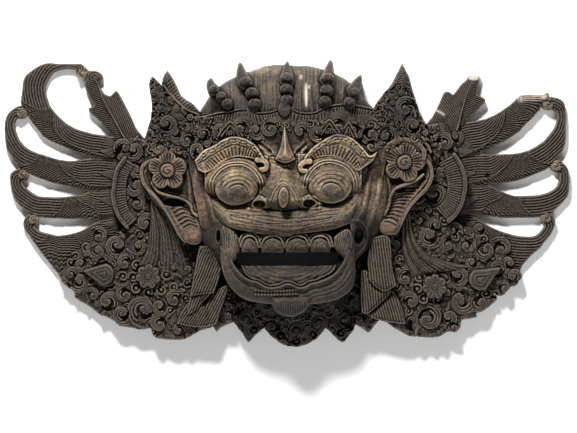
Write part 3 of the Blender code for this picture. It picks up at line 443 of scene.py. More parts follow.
LOWER_LIP = [(231, 252), (234, 261), (240, 271), (250, 278), (258, 280), (264, 283.5), (271, 285.5),
             (279, 284), (285, 281.5), (291, 282.5), (297, 285.5), (303, 285), (310, 281.5),
             (318, 279.5), (328, 276), (336, 269), (342, 258), (345, 250)]
TONGUE = loop([(241, 261), (286, 260), (335, 261)],
              [(335, 261), (333, 268), (326, 273.5), (317, 277.5), (309, 279.5), (302, 283),
               (297, 283.5), (291, 280.5), (285, 279.5), (279, 282), (271, 283.5), (264, 281.5),
               (258, 278), (251, 276.5), (244, 271), (241, 261)])
LEFT_FANG = loop([(224, 224), (234, 229), (239.5, 237), (240.5, 247), (238, 256), (232, 263)],
                 [(232, 263), (227, 254), (223, 242), (221, 230), (224, 224)])
RIGHT_FANG = loop([(332, 236), (339, 230), (347, 228), (352, 238), (353, 247), (350, 255),
                   (345, 260)],
                  [(345, 260), (338, 253), (333, 245), (332, 236)])
CHIN_TAB = loop([(269, 292), (309, 292)], [(309, 292), (309, 300), (306, 306), (300, 311),
                                           (289, 314), (280, 311.5), (273, 305), (269, 292)])

LEFT_EAR = loop([(186, 160), (178, 150), (166, 147), (153, 153), (144, 165), (142, 178),
                 (148, 192), (156, 203), (168, 213), (176, 226), (182, 238)],
                [(182, 238), (192, 243), (203, 240), (206, 228), (203, 212), (196, 200),
                 (194, 185), (192, 170)])
RIGHT_EAR = loop([(378, 160), (382, 148), (392, 140), (404, 139), (418, 145), (428, 156),
                  (431, 168), (429, 180), (420, 192), (408, 206), (402, 220), (397, 230)],
                 [(397, 230), (388, 234), (379, 232), (373, 222), (378, 208), (384, 196),
                  (382, 178)])
EAR_FLOWERS = [((168.5, 170.0), 19.0, 0.0), ((402.0, 162.0), 20.0, 0.25)]
PETALS = 5               # on each ear flower

# Each tassel: its parts from the top down, with the lean of the pleats and the height
TASSELS = [
    (loop([(200, 244), (217, 246), (221, 268), (214, 291)], [(214, 291), (191, 294)],
          [(191, 294), (194, 275), (200, 244)]), 0.42, 64),
    (loop([(191, 292), (212, 289), (200, 305)], [(200, 305), (188, 312), (191, 292)]), 0.4, 56),
    (loop([(215, 288), (228, 284), (222, 305), (217, 322)], [(217, 322), (208, 324)],
          [(208, 324), (206, 305), (215, 288)]), 0.5, 52),
    (loop([(189, 300), (210, 304), (210, 324)], [(210, 324), (194, 325), (177, 322)],
          [(177, 322), (182, 310), (189, 300)]), 0.6, 48),
    (loop([(368, 236), (387, 236), (390, 262), (394, 284)], [(394, 284), (383, 290), (374, 285),
                                                             (367, 278)],
          [(367, 278), (366, 255), (368, 236)]), -0.12, 64),
    (loop([(359, 268), (366, 270), (374, 284), (390, 289)], [(390, 289), (378, 302), (366, 312)],
          [(366, 312), (360, 309), (359, 290), (359, 268)]), -0.1, 56),
    (loop([(391, 288), (399, 302), (405, 322)], [(405, 322), (388, 320), (374, 317), (366, 313)],
          [(366, 313), (378, 302), (391, 288)]), -0.3, 50)]

COLLARS = [[(126, 158), (118, 170), (115, 186), (115, 202), (120, 216), (128, 226)],
           [(452, 154), (459, 166), (463, 182), (461, 198), (455, 211), (446, 220)]]
COLLAR_WIDTH = 17.0

# Drapery that falls from behind each ear, between two edges that run the same way
DRAPES = [([(151, 196), (151, 225), (147, 248), (139, 264)],
           [(160, 203), (174, 218), (184, 240), (191, 262), (194, 288)]),
          ([(401, 212), (399, 238), (403, 260), (411, 276)],
           [(408, 206), (413, 234), (424, 250), (446, 260), (472, 265)])]
DRAPE_FOLDS = 8

# Scrolls and bosses of the lower panels, the beard and the crown: X, Y, radius
LEFT_SCROLLS = [(147, 222, 10), (117, 244, 9), (125, 261, 7), (82, 263, 6), (186, 268, 6),
                (104, 273, 13), (80, 280, 9), (93, 293, 6), (109, 300, 10), (143, 307, 12),
                (175, 297, 8), (160, 305, 7), (125, 293, 7), (149, 275, 8), (148, 259, 5),
                (163, 262, 5), (137, 264, 5), (134, 276, 5), (137, 287, 5), (149, 291, 5),
                (162, 288, 5), (167, 273, 5), (98, 250, 7), (100, 235, 7), (140, 245, 6),
                (178, 250, 6), (72, 272, 6), (122, 312, 8), (160, 322, 8), (138, 170, 8),
                (136, 186, 9), (138, 202, 7), (135, 150, 8), (125, 146, 7), (180, 328, 7),
                (196, 322, 6), (184, 312, 6)]
RIGHT_SCROLLS = [(433, 193, 10), (425, 209, 6), (419, 218, 6), (427, 235, 9), (445, 243, 7),
                 (466, 245, 6), (484, 249, 9), (500, 247, 8), (457, 274, 9), (478, 278, 12),
                 (496, 268, 8), (433, 285, 8), (403, 276, 8), (460, 300, 11), (478, 302, 8),
                 (427, 317, 11), (447, 316, 8), (409, 299, 8), (418, 276, 5), (416, 287, 5),
                 (422, 297, 5), (436, 298, 5), (430, 268, 5), (484, 292, 5), (493, 293, 5),
                 (502, 286, 6), (512, 275, 7), (507, 262, 6), (446, 289, 6), (470, 262, 6),
                 (451, 326, 6), (440, 170, 6), (430, 150, 9), (443, 142, 8), (455, 136, 6),
                 (433, 224, 6), (452, 228, 6), (478, 228, 6), (395, 268, 6), (398, 312, 6)]
BEARD_SCROLLS = [(246, 316, 8), (254, 328, 5), (228, 312, 6), (272, 326, 8), (296, 328, 10),
                 (318, 320, 8), (342, 318, 9), (340, 331, 5), (360, 318, 6), (296, 339, 5),
                 (280, 334, 5), (312, 332, 5)]
CROWN_ROSETTES = [(205, 134, 8), (222, 131, 7), (240, 128, 7), (256, 132, 7), (270, 130, 7),
                  (300, 131, 7), (316, 133, 7), (336, 127, 8), (353, 132, 7), (368, 136, 8),
                  (188, 140, 8), (176, 134, 7), (160, 148, 6), (385, 135, 8), (410, 126, 8),
                  (402, 108, 8), (168, 124, 8), (199, 150, 6), (370, 146, 6)]

# The hollow behind the face: its middle and its reach on the pattern
HOLLOW_X, HOLLOW_Y = 287.0, 190.0
HOLLOW_HALF_WIDE, HOLLOW_DOWN = 80.0, 106.0
DOME_TOP = 65.0


# Each ear: its outline, outer and inner rims, the hollow under the inner rim, and the lobe
EARS = [(LEFT_EAR, [(156, 159), (145, 165), (143, 175), (147, 186), (156, 196), (164, 206),
                    (173, 219), (180, 232), (186, 240)],
         [(153, 183), (159, 191), (170, 195), (182, 198), (190, 203), (193, 211), (198, 215)],
         (175, 201.5, 12, 4.5), (194, 235)),
        (RIGHT_EAR, [(422, 158), (428.5, 166), (429, 178), (423, 189), (415, 197), (406, 208),
                     (399, 221), (393, 232)],
         [(383, 214), (387, 204), (389, 195), (394, 188), (404, 184), (415, 179), (421, 174)],
         (398, 189, 6, 3), (387, 226))]
# Where each feather's grooves turn up into its upper edge, and where its tip's own grooves begin
FEATHER_TURNS = {"left 1": (72, 84), "left 2": (66, 90), "left 3": (46, 60), "left 4": (42, 84),
                 "right 1": (62, 400), "right 2": (60, 82), "right 3": (46, 66),
                 "right 4": (40, 58)}
FRINGE = 5.5             # width of the barbs along a feather's outer edge


def length_of(line):
    return float(np.hypot(*np.diff(line, axis=0).T).sum())


def carve_feather(r, name, inner, hook, outer):
    """A feather: long grooves at the root, a fringe of barbs, the tip's own grooves, and a curl."""
    edge, crown = steps(FEATHER_EDGE), steps(FEATHER_CROWN)
    shape = loop(inner, hook, outer)
    r.lay(shape, edge, edge + crown, 7)
    win, d = r.within(shape)
    upper = curve(inner)
    near, along, _ = r.from_line(upper, r.X[win], r.Y[win])
    far = r.from_line(curve(outer), r.X[win], r.Y[win])[0]
    u = along * length_of(upper)
    width = near + far + 1e-6
    t = near / width
    turn, tip = FEATHER_TURNS[name]
    bent = near + np.maximum(u - turn + 24, 0) ** 2 / 46
    root = bent < width - FRINGE
    end = u > tip + 15 * t ** 2
    barbs = (u + width * (0.45 * (1 - t) + 0.95 * (1 - t) ** 2)) / 2.6 + 0.5 * np.sin(u / 13)
    cut = np.where(root, 2.3 * (1 - ridges(bent / 2.6) ** 1.6), 2.8 * (1 - ridges(barbs) ** 1.6))
    cut = np.where(end, 2.3 * (1 - ridges(near / 2.8) ** 1.6), cut)
    # A rolled line closes each set of grooves
    border = np.abs(bent - (width - FRINGE)) + 9 * end
    collar = np.abs(u - tip - 15 * t ** 2)
    roll = 2.2 * bell(border / 1.2) + 1.8 * bell(collar / 1.5)
    bare = ease((u - 8) / 16)
    fade = ease((d - 0.4) / 1.6)
    swell = 1.5 * np.sin(np.clip((u - turn + 30) / 60, 0, 1) * np.pi)
    r.top[win] += np.where(d > 0, (roll - cut) * bare * fade + swell * ease(d / 5), 0)
    nick = 0.55 * (1 - ridges(barbs)) * (far < 4) * ~end * (u > 20)
    r.edge[win] = np.where(d > 0, np.minimum(r.edge[win], d - nick), r.edge[win])
    # The tip rolls in to a small uneven knob
    x, y = np.mean(hook, 0)
    hand = 1 if x < MIDDLE_X else -1
    r.knob(x, y, 5.0, edge + crown + 2.5, ry=4.6, lift=0.9)
    r.knob(x - hand * 2.2, y + 1.6, 3.2, edge + crown + 3.2, lift=0.9)
    r.groove([(x + hand * 3.6, y - 2.6), (x, y - 3.4), (x - hand * 3.4, y - 0.6),
              (x - hand * 0.6, y + 1.4)], 0.65, 2.2)
    # A teardrop lies over the root
    x0, y0 = inner[0]
    x1, y1 = outer[-1]
    mid = np.array([(x0 + x1) / 2, (y0 + y1) / 2])
    lean = 1 if x0 < MIDDLE_X else -1
    teardrop(r, mid[0] - 13 * lean, mid[1] - 1, 4.8, mid[0] - 26 * lean, mid[1] - 3, 3)


def teardrop(r, x, y, size, tip_x, tip_y, rise):
    """A drop with lines inside its edge: a round end of this size, drawn out to a tip."""
    way = np.arctan2(tip_y - y, tip_x - x)
    a = way + np.linspace(0.5 * np.pi, 1.5 * np.pi, 12)
    points = np.vstack([np.stack(polar(x, y, size, a), 1), [(tip_x, tip_y)]])
    ground = r.height(x, y)
    r.lay(points, ground + rise * 0.4, ground + rise, size * 0.6, outline=False,
          cuts=(size * 0.3, size * 0.62))


def carve_leaf(r, name, runs):
    """A leaf above a wing, with strokes from its rib to its edge."""
    edge, crown = steps(FEATHER_EDGE), steps(FEATHER_CROWN)
    shape = loop(*runs)
    r.lay(shape, edge + 2, edge + crown + 3, 8)
    rib = curve(LEAF_RIBS[name])
    win, d = r.within(shape)
    away, along, _ = r.from_line(rib, r.X[win], r.Y[win])
    strokes = (along * length_of(rib) - 0.85 * away) / 2.5
    deep = 2.7 * (1 - ridges(strokes) ** 1.6) * ease((away - 1.5) / 2) * ease((d - 0.3) / 1.5)
    lobes = 2.2 * np.sin((along * length_of(rib) - 0.5 * away) / 8.5) * ease(away / 8)
    r.top[win] += np.where(d > 0, lobes * ease(d / 4) - deep, 0)
    r.rib(LEAF_RIBS[name], 1.1, 23, 18, taper=0.5)


def carve_wings(r):
    for name, runs in FEATHERS.items():
        carve_feather(r, name, *runs)
    for name, runs in LEAVES.items():
        carve_leaf(r, name, runs)
    for panel in (LEFT_PANEL, RIGHT_PANEL):
        win, d = r.spread(panel)
        inward = ease((115 - abs(abs(r.X[win] - 288) - 95)) / 100)
        ground = 12 + 9 * round_over(d, 9) + 12 * inward
        r.raise_to(win, ground, d > 0)


def scroll(r, x, y, size, rise, hand, start):
    """Strands that sweep in from a tail and wind side by side round a bead."""
    ground = r.height(x, y)
    r.sink(disc(x, y, size * 0.96), ground - 3, 2)
    for k in range(3):
        a = start + hand * np.linspace(-1.1 + 0.35 * k, 3.9 + 0.45 * k, 16)
        out = np.linspace(1, 0, 16) ** 2
        reach = size * (0.94 - 0.25 * k) * (1 - 0.22 * np.linspace(0, 1, 16)) * (1 + 0.65 * out)
        strand = np.stack(polar(x, y, reach, a), 1)
        r.rib(strand, size * 0.085 + 0.3, ground + rise * (0.3 + 0.1 * k),
              ground + rise * (0.85 + 0.1 * k))
    r.knob(x, y, size * 0.26 + 0.3, ground + rise * 1.2)


def curl(r, x, y, size, rise, hand, start):
    """One strand hooked round a bead, with the ground cut down between."""
    ground = r.height(x, y)
    a = start + hand * np.linspace(0, 5.2, 12)
    reach = size * np.linspace(1.0, 0.62, 12)
    strand = np.stack(polar(x, y, reach, a), 1)
    r.sink(disc(x, y, size * 0.9), ground - 2.5, 1.5)
    r.rib(strand, size * 0.17 + 0.3, ground + rise * 0.3, ground + rise, taper=0.2)
    r.knob(x, y, size * 0.33, ground + rise * 1.05)


def carve_scrolls(r, scrolls, rise):
    for number, (x, y, size) in enumerate(scrolls):
        hand = 1 if (number + (x > MIDDLE_X)) % 2 else -1
        turn = number * 2.399
        if size >= 6:
            scroll(r, x, y, size, rise, hand, turn)
        else:
            curl(r, x, y, size * 1.1, rise, hand, turn)


def fill_ground(r, outline, seed, count, low, high, keep_off=()):
    """Hooks, ringed beads, lobes and leaf tips crowded between the larger scrolls."""
    pick = np.random.RandomState(seed)
    x0, y0 = np.min(outline, 0)
    x1, y1 = np.max(outline, 0)
    placed = np.array([(x, y, size * 0.8) for x, y, size in keep_off] or [(-FAR, 0, 0)], float)
    for size in np.linspace(high, low, 5):
        for _ in range(count * 8):
            x, y = pick.uniform(x0, x1), pick.uniform(y0, y1)
            kind, turn = pick.randint(1, 9), pick.uniform(0, 2 * np.pi)
            rise = pick.uniform(3.2, 5.4)
            gaps = np.hypot(placed[:, 0] - x, placed[:, 1] - y) - placed[:, 2]
            if gaps.min() < size * 0.8 or r_inside(outline, x, y) < size * 0.4:
                continue
            placed = np.vstack([placed, (x, y, size * 0.8)])
            ground = r.height(x, y)
            c, s = np.cos(turn), np.sin(turn)
            if kind < 3:
                curl(r, x, y, size, rise, 1, turn)
            elif kind == 3:
                r.knob(x, y, size * 0.8, ground + rise, lift=0.8)
                ring(r, x, y, size * 0.42, 0.55, 1.6)
            elif kind in (4, 8):
                r.knob(x, y, size * 0.62, ground + rise)
                for k in range(3):
                    a = turn + k * 1.1
                    r.knob(*polar(x, y, size * 0.8, a), size * 0.4, ground + rise * 0.8)
            elif kind < 7:
                # A smooth lobe with a line along its edge
                lobe = [(x - size * 0.7 * c, y - size * 0.7 * s),
                        (x + 0.2 * size * s, y - 0.2 * size * c),
                        (x + size * 0.6 * c, y + size * 0.6 * s)]
                r.rib(lobe, size * 0.55, ground + rise * 0.6, ground + rise, taper=0.3)
                r.groove([(a - 0.3 * size * s, b + 0.3 * size * c) for a, b in lobe], 0.5, 1.2)
            else:
                # Three leaf tips from one stem
                for lean in (-0.45, 0, 0.45):
                    tip = [polar(x, y, -size * 0.7, turn), polar(x, y, 0.3 * size, turn + lean),
                           polar(x, y, size * 1.1, turn + lean)]
                    r.rib(tip, size * 0.3, ground + rise, ground + rise * 0.5, taper=0.4)


def r_inside(points, x, y):
    """Depth of one point inside a closed outline, below zero outside it."""
    closed = np.vstack([points, points[:1]])
    a, b = closed[:-1], closed[1:]
    ab = b - a
    size = np.maximum((ab ** 2).sum(1), 1e-9)
    t = np.clip(((x - a[:, 0]) * ab[:, 0] + (y - a[:, 1]) * ab[:, 1]) / size, 0, 1)
    d = np.hypot(x - a[:, 0] - t * ab[:, 0], y - a[:, 1] - t * ab[:, 1]).min()
    crosses = (a[:, 1] > y) != (b[:, 1] > y)
    with np.errstate(divide="ignore", invalid="ignore"):
        at = a[:, 0] + (y - a[:, 1]) * ab[:, 0] / ab[:, 1]
    return d if (crosses & (x < at)).sum() % 2 else -d


def rosette(r, x, y, size, rise, petals=7):
    """Petals round a ringed boss."""
    ground = r.height(x, y)
    for k in range(petals):
        a = 2 * np.pi * k / petals + 0.3
        r.knob(*polar(x, y, size * 0.95, a), size * 0.5, ground + rise * 0.8, lift=0.6)
        r.groove([polar(x, y, size * 0.7, a), polar(x, y, size * 1.3, a)], 0.7, 1.3)
    r.knob(x, y, size * 0.62, ground + rise, lift=0.6)
    ring(r, x, y, size * 0.42, 0.8, 1.8)


def ring(r, x, y, radius, width, depth, ry=None):
    """A round cut, or a raised ring where the depth is below zero."""
    win = r.window(disc(x, y, radius + 3 * width, ry and ry + 3 * width), 0)
    away = np.hypot((r.X[win] - x), (r.Y[win] - y) * radius / (ry or radius)) - radius
    r.top[win] -= depth * bell(away / width)


def carve_panels(r):
    """Scrolls, two rosettes and two drops in the panels below the wings."""
    fill_ground(r, LEFT_PANEL, 5, 90, 2.2, 4.8, LEFT_SCROLLS)
    fill_ground(r, RIGHT_PANEL, 9, 90, 2.2, 4.8, RIGHT_SCROLLS)
    carve_scrolls(r, LEFT_SCROLLS + RIGHT_SCROLLS, 6)
    for x, y in ((149, 275), (433, 285)):
        rosette(r, x, y, 8.5, 7)
    teardrop(r, 104, 273, 11, 84, 269, 8)
    teardrop(r, 478, 278, 11, 499, 266, 8)


def carve_collars(r):
    """The fluted band between each ear and its feathers, with a raised rim on its outer side."""
    for number, points in enumerate(COLLARS):
        line = curve(points)
        wide = COLLAR_WIDTH if number else 0.7 * COLLAR_WIDTH
        win, d, along, side = r.to_line(line, wide)
        inner = side < 0 if number == 0 else side > 0
        lobes = along * length_of(line) / 2.9 + 0.03 * d
        band = 39 - 0.22 * d + 2.2 * (ridges(lobes) - 1) * ease(d / 3)
        r.raise_to(win, band, (d < wide) & inner & (along > 0) & (along < 1))
        r.rib(points, 2.2, 42, 42)


def between(r, first, second):
    """Window, depth inside the band between two lines, share of the way across and along."""
    first, second = curve(first), curve(second)
    win, d = r.within(np.vstack([first, second[::-1]]))
    near = r.from_line(first, r.X[win], r.Y[win])[0]
    far, along, _ = r.from_line(second, r.X[win], r.Y[win])
    return win, d, near / (near + far), along


def carve_drapes(r):
    for first, second in DRAPES:
        win, d, across, along = between(r, first, second)
        broad = np.abs(np.sin(across * np.pi * 3))
        folds = 41 - 12 * along + 3.5 * broad + 1.6 * ridges(across * DRAPE_FOLDS * 1.5)
        folds = folds - 6 * (1 - round_over(d, 6))
        r.raise_to(win, folds, d > 0)


def carve_crown(r):
    """The dome of the skull, the fluted crown band, its peaks and its five points."""
    win, d = r.spread(DOME)
    X, Y = r.X[win], r.Y[win]
    grain = 1.1 * noise(X * 2.6, Y * 0.22, 5, 21) + 0.8 * noise(X * 4.5, Y * 0.3, 6, 22)
    r.raise_to(win, 10 + 78 * round_over(d, 52) + grain, d > 0)
    for number, points in enumerate(PEAKS):
        r.lay(points, 44, 60, 12, cuts=(2.2, 4.6) if number else ())
    # Stair-like ribs on the left inner leaf, and rings down the tip of the right peak
    for k in range(15):
        x, y = 168 + 1.9 * k, 80 + 2.35 * k
        r.groove([(x - 1.5, y + 5), (x + 4, y + 0.5), (x + 10, y - 0.5)], 0.7, 2.0)
    r.rib([(165, 86), (171, 95), (181, 105), (190, 111.5), (200, 115.5)], 1.1, 62, 64)
    for k in range(9):
        y, half = 70 + 2.5 * k, 2.5 + 0.85 * k
        r.groove([(400 - half, y + 1.5), (400, y - 0.5), (400 + half, y + 1.5)], 0.65, 1.6)
    for x, y, rx, ry in ((169, 128, 7, 9), (398, 118, 6, 14)):
        r.knob(x, y, rx, 68, ry=ry)
        ring(r, x, y, rx * 0.75, 0.8, 1.8, ry * 0.75)
        ring(r, x, y, rx * 0.4, 0.7, 1.5, ry * 0.45)
    # The band bows round the forehead, with a rolled lip and flutes under it
    win, lip, _, _ = r.to_line(curve(CROWN_EDGE), 60)
    lip_distance = np.full(r.X.shape, FAR)
    lip_distance[win] = lip
    win, d = r.within(CROWN_BAND)
    x, lip = r.X[win], lip_distance[win]
    level = 54 + 34 * bow((x - FACE_X) / 104)
    level = level - 10 * (1 - round_over(d, 4))
    level = level + 4.5 * bell((lip - 1.0) / 0.8) - 2.5 * bell((lip - 2.8) / 0.8)
    level = level - 0.3 * np.maximum(lip - 16, 0)
    wave = x + 0.6 * np.sin(0.35 * x) + 0.25 * lip * np.sin(0.09 * x)
    flutes = 3.0 * (ridges(wave / 2.9) - 1) * ease((lip - 3.6) / 1.0)
    flutes = flutes * ease((9.5 + 1.5 * np.sin(0.2 * x) - lip) / 2.0)
    r.raise_to(win, level + flutes, d > 0)
    for claw, beads, size in FINIALS:
        win, d, along, _ = r.to_line(curve(claw), 9)
        half = size * (1 - along) ** 0.6 + 0.8
        form = 88 - 26 * along - half * (1 - round_over(half - d, half))
        form = form - 1.6 * bell((along - 0.12) / 0.06)
        r.edge[win] = np.maximum(r.edge[win], half - d)
        r.raise_to(win, form, d < half)
        for number, (x, y) in enumerate(beads):
            win = r.window(disc(x, y, size + 1), 0)
            X, Y = r.X[win] - x, r.Y[win] - y
            away = np.hypot(X, Y * 1.05) / size
            form = 92 + 2 * number - size * (1 - bow(away))
            form = form + 2.0 * noise(r.X[win], r.Y[win], 3.2, 33)
            form = form - 5 * ease((Y - 0.15 * size) / (0.6 * size))
            r.raise_to(win, form, away < 1)
    r.knob(284, 110, 6, 97, ry=8)


def carve_crown_scrolls(r):
    """Scrolls, beads and leaf tips on the crown's band and on its outer peaks."""
    band = loop([(168, 118), (190, 128), (230, 122), (284, 124), (340, 122), (384, 124),
                 (408, 110)],
                [(408, 110), (440, 140), (436, 160)],
                [(436, 160), (384, 150), (352, 140), (286, 132), (228, 140), (190, 152),
                 (150, 150)],
                [(150, 150), (150, 100)])
    fill_ground(r, band, 3, 150, 1.5, 3.6, CROWN_ROSETTES)
    fill_ground(r, PEAKS[0], 5, 60, 1.6, 4.2, [(169, 128, 9)])
    fill_ground(r, PEAKS[2], 9, 70, 1.5, 3.6, [(398, 118, 8), (400, 75, 12)])
    carve_scrolls(r, CROWN_ROSETTES, 6)
    # Pointed arches with hatching under them, over each brow
    for x, y, half in ((231, 123, 12), (328, 121, 11), (347, 124, 8), (256, 126, 8)):
        ground = r.height(x, y + 9)
        for k, rise in ((0, 4.5), (1, 3.5)):
            reach = half - 3.2 * k
            r.rib([(x - reach, y + 14), (x - reach * 0.55, y + 6 + 3.4 * k), (x, y + 3.6 * k),
                   (x + reach * 0.55, y + 6 + 3.4 * k), (x + reach, y + 14)], 1.1, ground + rise,
                  ground + rise)
        for k in range(4):
            r.rib([(x - 3.6 + 2.4 * k, y + 13), (x - 2.4 + 1.6 * k, y + 8.5)], 0.75, ground + 2.6,
                  ground + 2.6)


def petal_angles(turn):
    return [2 * np.pi * (k + 0.5) / PETALS + turn + np.pi / 2 for k in range(PETALS)]


def carve_ears(r):
    """The ears with their rims, hollows and lobes, a ribbed lining, and a flower on each."""
    for points, outer, inner, hollow, lobe in EARS:
        r.lay(points, 44, 57, 6)
        win, d = r.within(points)
        fall = ease((r.Y[win] - 200) / 30)
        bowl = ease((d - 3.5) / 5) * (1 - fall)
        r.top[win] -= np.where(d > 0, 8 * bowl - 5 * fall, 0)
        r.sink(disc(*hollow), 38, 2)
        r.rib(outer, 1.9, 61, 60, melt=2)
        r.rib(inner, 1.5, 58, 61, melt=3)
        r.swell([(x, y - 3.6) for x, y in inner[1:-1]], 0.9, 2)
        r.knob(lobe[0], lobe[1], 9.5, 66, ry=8.5, lift=0.7, melt=4)
    for k in range(6):
        r.groove([(173 + 2.4 * k, 208 + 3.6 * k), (181 + 2.1 * k, 204.5 + 3.8 * k),
                  (190 + 1.5 * k, 208.5 + 3.4 * k)], 0.95, 2.8)
    start = curve([(394, 190), (389, 204), (383, 220)])
    end = curve([(420, 187), (407, 203), (396, 225)])
    for k in range(12):
        (ax, ay), (bx, by) = (p[int(k / 11 * (len(p) - 1))] for p in (start, end))
        r.groove([(ax, ay), (0.6 * ax + 0.4 * bx, 0.6 * ay + 0.4 * by - 1.2),
                  (0.16 * ax + 0.84 * bx, 0.16 * ay + 0.84 * by)], 0.9, 2.6)
    for arc, width, height in (
            ([(156, 151), (161, 145), (169, 142), (179, 145), (187, 152)], 1.6, 60),
            ([(159, 153), (164, 148), (170, 146), (176, 148), (181, 152)], 1.2, 60),
            ([(382, 150), (392, 142), (403.5, 140), (415, 144), (421, 151), (421, 158)], 2.3, 66),
            ([(386, 140), (393, 136), (402, 134), (414, 137), (424, 144), (428, 152)], 1.5, 60),
            ([(383, 137), (393, 132), (403, 130), (415, 133), (426, 140)], 1.2, 58)):
        r.rib(arc, width, height, height, melt=1)
    for (x, y), size, turn in EAR_FLOWERS:
        for a in petal_angles(turn):
            px, py = polar(x, y, 0.6 * size, a)
            r.knob(px, py, 0.44 * size, 65, lift=0.5)
            dish = r.window(disc(px, py, 0.36 * size), 0)
            away = np.hypot(r.X[dish] - px, r.Y[dish] - py) / (0.36 * size)
            r.top[dish] -= 4 * (1 - ease(away))
            for lean in (-0.46, -0.23, 0, 0.23, 0.46):
                r.groove([polar(x, y, 0.4 * size, a + lean),
                          polar(x, y, 0.86 * size, a + lean * 0.9)], 0.6, 1.9)
        r.knob(x, y, 0.37 * size, 70, lift=0.7)
        r.groove([(x + 3, y - 4), (x - 2.5, y - 3), (x - 3.5, y + 1.5), (x, y + 3.5),
                  (x + 3, y + 1), (x + 0.5, y - 1)], 0.75, 2)
        ring(r, x, y, 0.38 * size, 0.8, 2.4)


def carve_tassels(r):
    """Two pleated tassels that fall from the ear lobes beside the jaw."""
    for points, lean, height in TASSELS:
        win, d = r.spread(points)
        lay = (r.X[win] + lean * (r.Y[win] - 280)) / 2.7
        form = height - 8 * (1 - round_over(d, 7)) + 2.6 * ridges(lay)
        form = form - 1.4 * bell((d - 2.4) / 0.7)
        r.raise_to(win, form, d > 0)


def carve_face(r):
    win, d = r.spread(FACE)
    X, Y = r.X[win], r.Y[win]
    aside = np.abs(X - FACE_X)
    muzzle = np.exp(-(aside / 60) ** 2 - ((Y - 228) / 40) ** 2)
    side = ease((aside - 62) / 22)
    temple = np.exp(-((aside - 74) / 10) ** 2 - ((Y - 180) / 16) ** 2)
    r.raise_to(win, 58 + 32 * round_over(d, 50) + 9 * muzzle - 9 * side - 7 * temple, d > 0)
    for fold in CHEEK_FOLDS:
        r.swell(fold, 3.4, 6, taper=1)
        for shift in (-3.6, 3.2):
            r.groove([(x + shift, y) for x, y in fold], 0.8, 0.9)
    for line in ([(198, 156), (200, 176), (204, 198), (208, 222)],
                 [(378, 148), (374, 168), (372, 190), (369, 214)]):
        r.rib(line, 9, 68, 70, taper=0.2, melt=9)
    carve_horn(r)
    carve_nose(r)
    for number, (top, low) in enumerate(BROWS):
        carve_brow(r, top, low, 1 - 2 * number)
    for x, y in (LEFT_EYE, RIGHT_EYE):
        carve_eye(r, x, y)


def carve_horn(r):
    win, d = r.within(HORN)
    rise = 84 + 6 * ease((160 - r.Y[win]) / 20)
    r.raise_to(win, rise + (114 - rise) * round_over(d, 9), d > 0, melt=3)
    r.swell([(284, 130), (284.5, 146), (284.5, 158)], 3.5, 2, taper=1)
    # Its root spreads in folds towards the brows
    for k, depth in enumerate((2.6, 1.5, 1.0)):
        r.groove([(259, 161 + 3 * k), (266, 157.5 + 3 * k), (273, 156.5 + 3.4 * k),
                  (279, 160 + 3 * k), (284.5, 161.5 + 3 * k), (290, 160 + 3 * k),
                  (295, 156.5 + 3.4 * k), (302, 160 + 3 * k)], 0.85, depth)
    for out, x in ((-1, 262), (1, 304)):
        r.swell([(x + out * 3, 147), (x - out * 1, 150), (x - out * 4, 154), (x - out * 9, 157)],
                2.2, 4.5, taper=1)
        r.swell([(x + out * 1, 141), (x - out * 4, 146), (x - out * 9, 150), (x - out * 12, 155)],
                1.6, 3.5, taper=1)
        r.groove([(x + out * 2, 144), (x - out * 3, 148.5), (x - out * 9, 153.5)], 0.7, 1.8)


def carve_nose(r):
    """A bridge that widens to the wings, the nostrils and the knob between them."""
    x, y = NOSE_KNOB
    win, d = r.within(NOSE)
    X, Y = r.X[win], r.Y[win]
    down = ease((Y - 150) / 52)
    rise = (5 + 15 * down) * ease(0.02 + d / (11 + 5 * down)) * ease((Y - 150) / 16)
    under = ease((Y - 199 - 0.004 * (X - x) ** 2) / 11)
    r.top[win] += np.where(d > 0, rise - np.minimum(rise, 17) * under, 0)
    r.bulge(x, y - 7, 8, 3, 9)
    for (nx, ny), out in zip(NOSTRILS, (-1, 1)):
        r.bulge(nx + 2 * out, ny - 4, 8, 6, 5)
        r.sink(disc(nx - out, ny + 0.5, 6.2, 4.2), 95, 2)
        rim = [(nx + out * 9, ny + 5), (nx + out * 9.5, ny - 1), (nx + out * 6, ny - 5.5),
               (nx - out * 1, ny - 6.5), (nx - out * 7, ny - 4)]
        r.swell(rim, 2.0, 5.0)
        r.swell([(a + out * 2.6, b - 2.4) for a, b in rim], 1.0, 2.0)
        r.groove([(a - out * 0.5, b - 3) for a, b in rim[1:]], 0.7, 1.8)
        r.groove([(nx - out * 13, ny + 4), (nx - out * 5, ny + 7), (nx + out * 6, ny + 7)],
                 0.8, 1.6)
    r.knob(x, y, 5.2, STEPS_DEEP, ry=9.4, lift=2.2, melt=1)
    for k in (0, 1):
        r.groove([(x - 12 - 3 * k, y + 4), (x - 8 - 2 * k, y - 6 - 2 * k), (x, y - 13 - 2.5 * k),
                  (x + 8 + 2 * k, y - 6 - 2 * k), (x + 12 + 3 * k, y + 4)], 0.8, 1.9 - 0.8 * k)
    for k in range(5):
        r.groove([(264 + k, 171 + 4.5 * k), (284, 168 + 4.5 * k), (303 - k, 171 + 4.5 * k)],
                 0.7, 0.5)


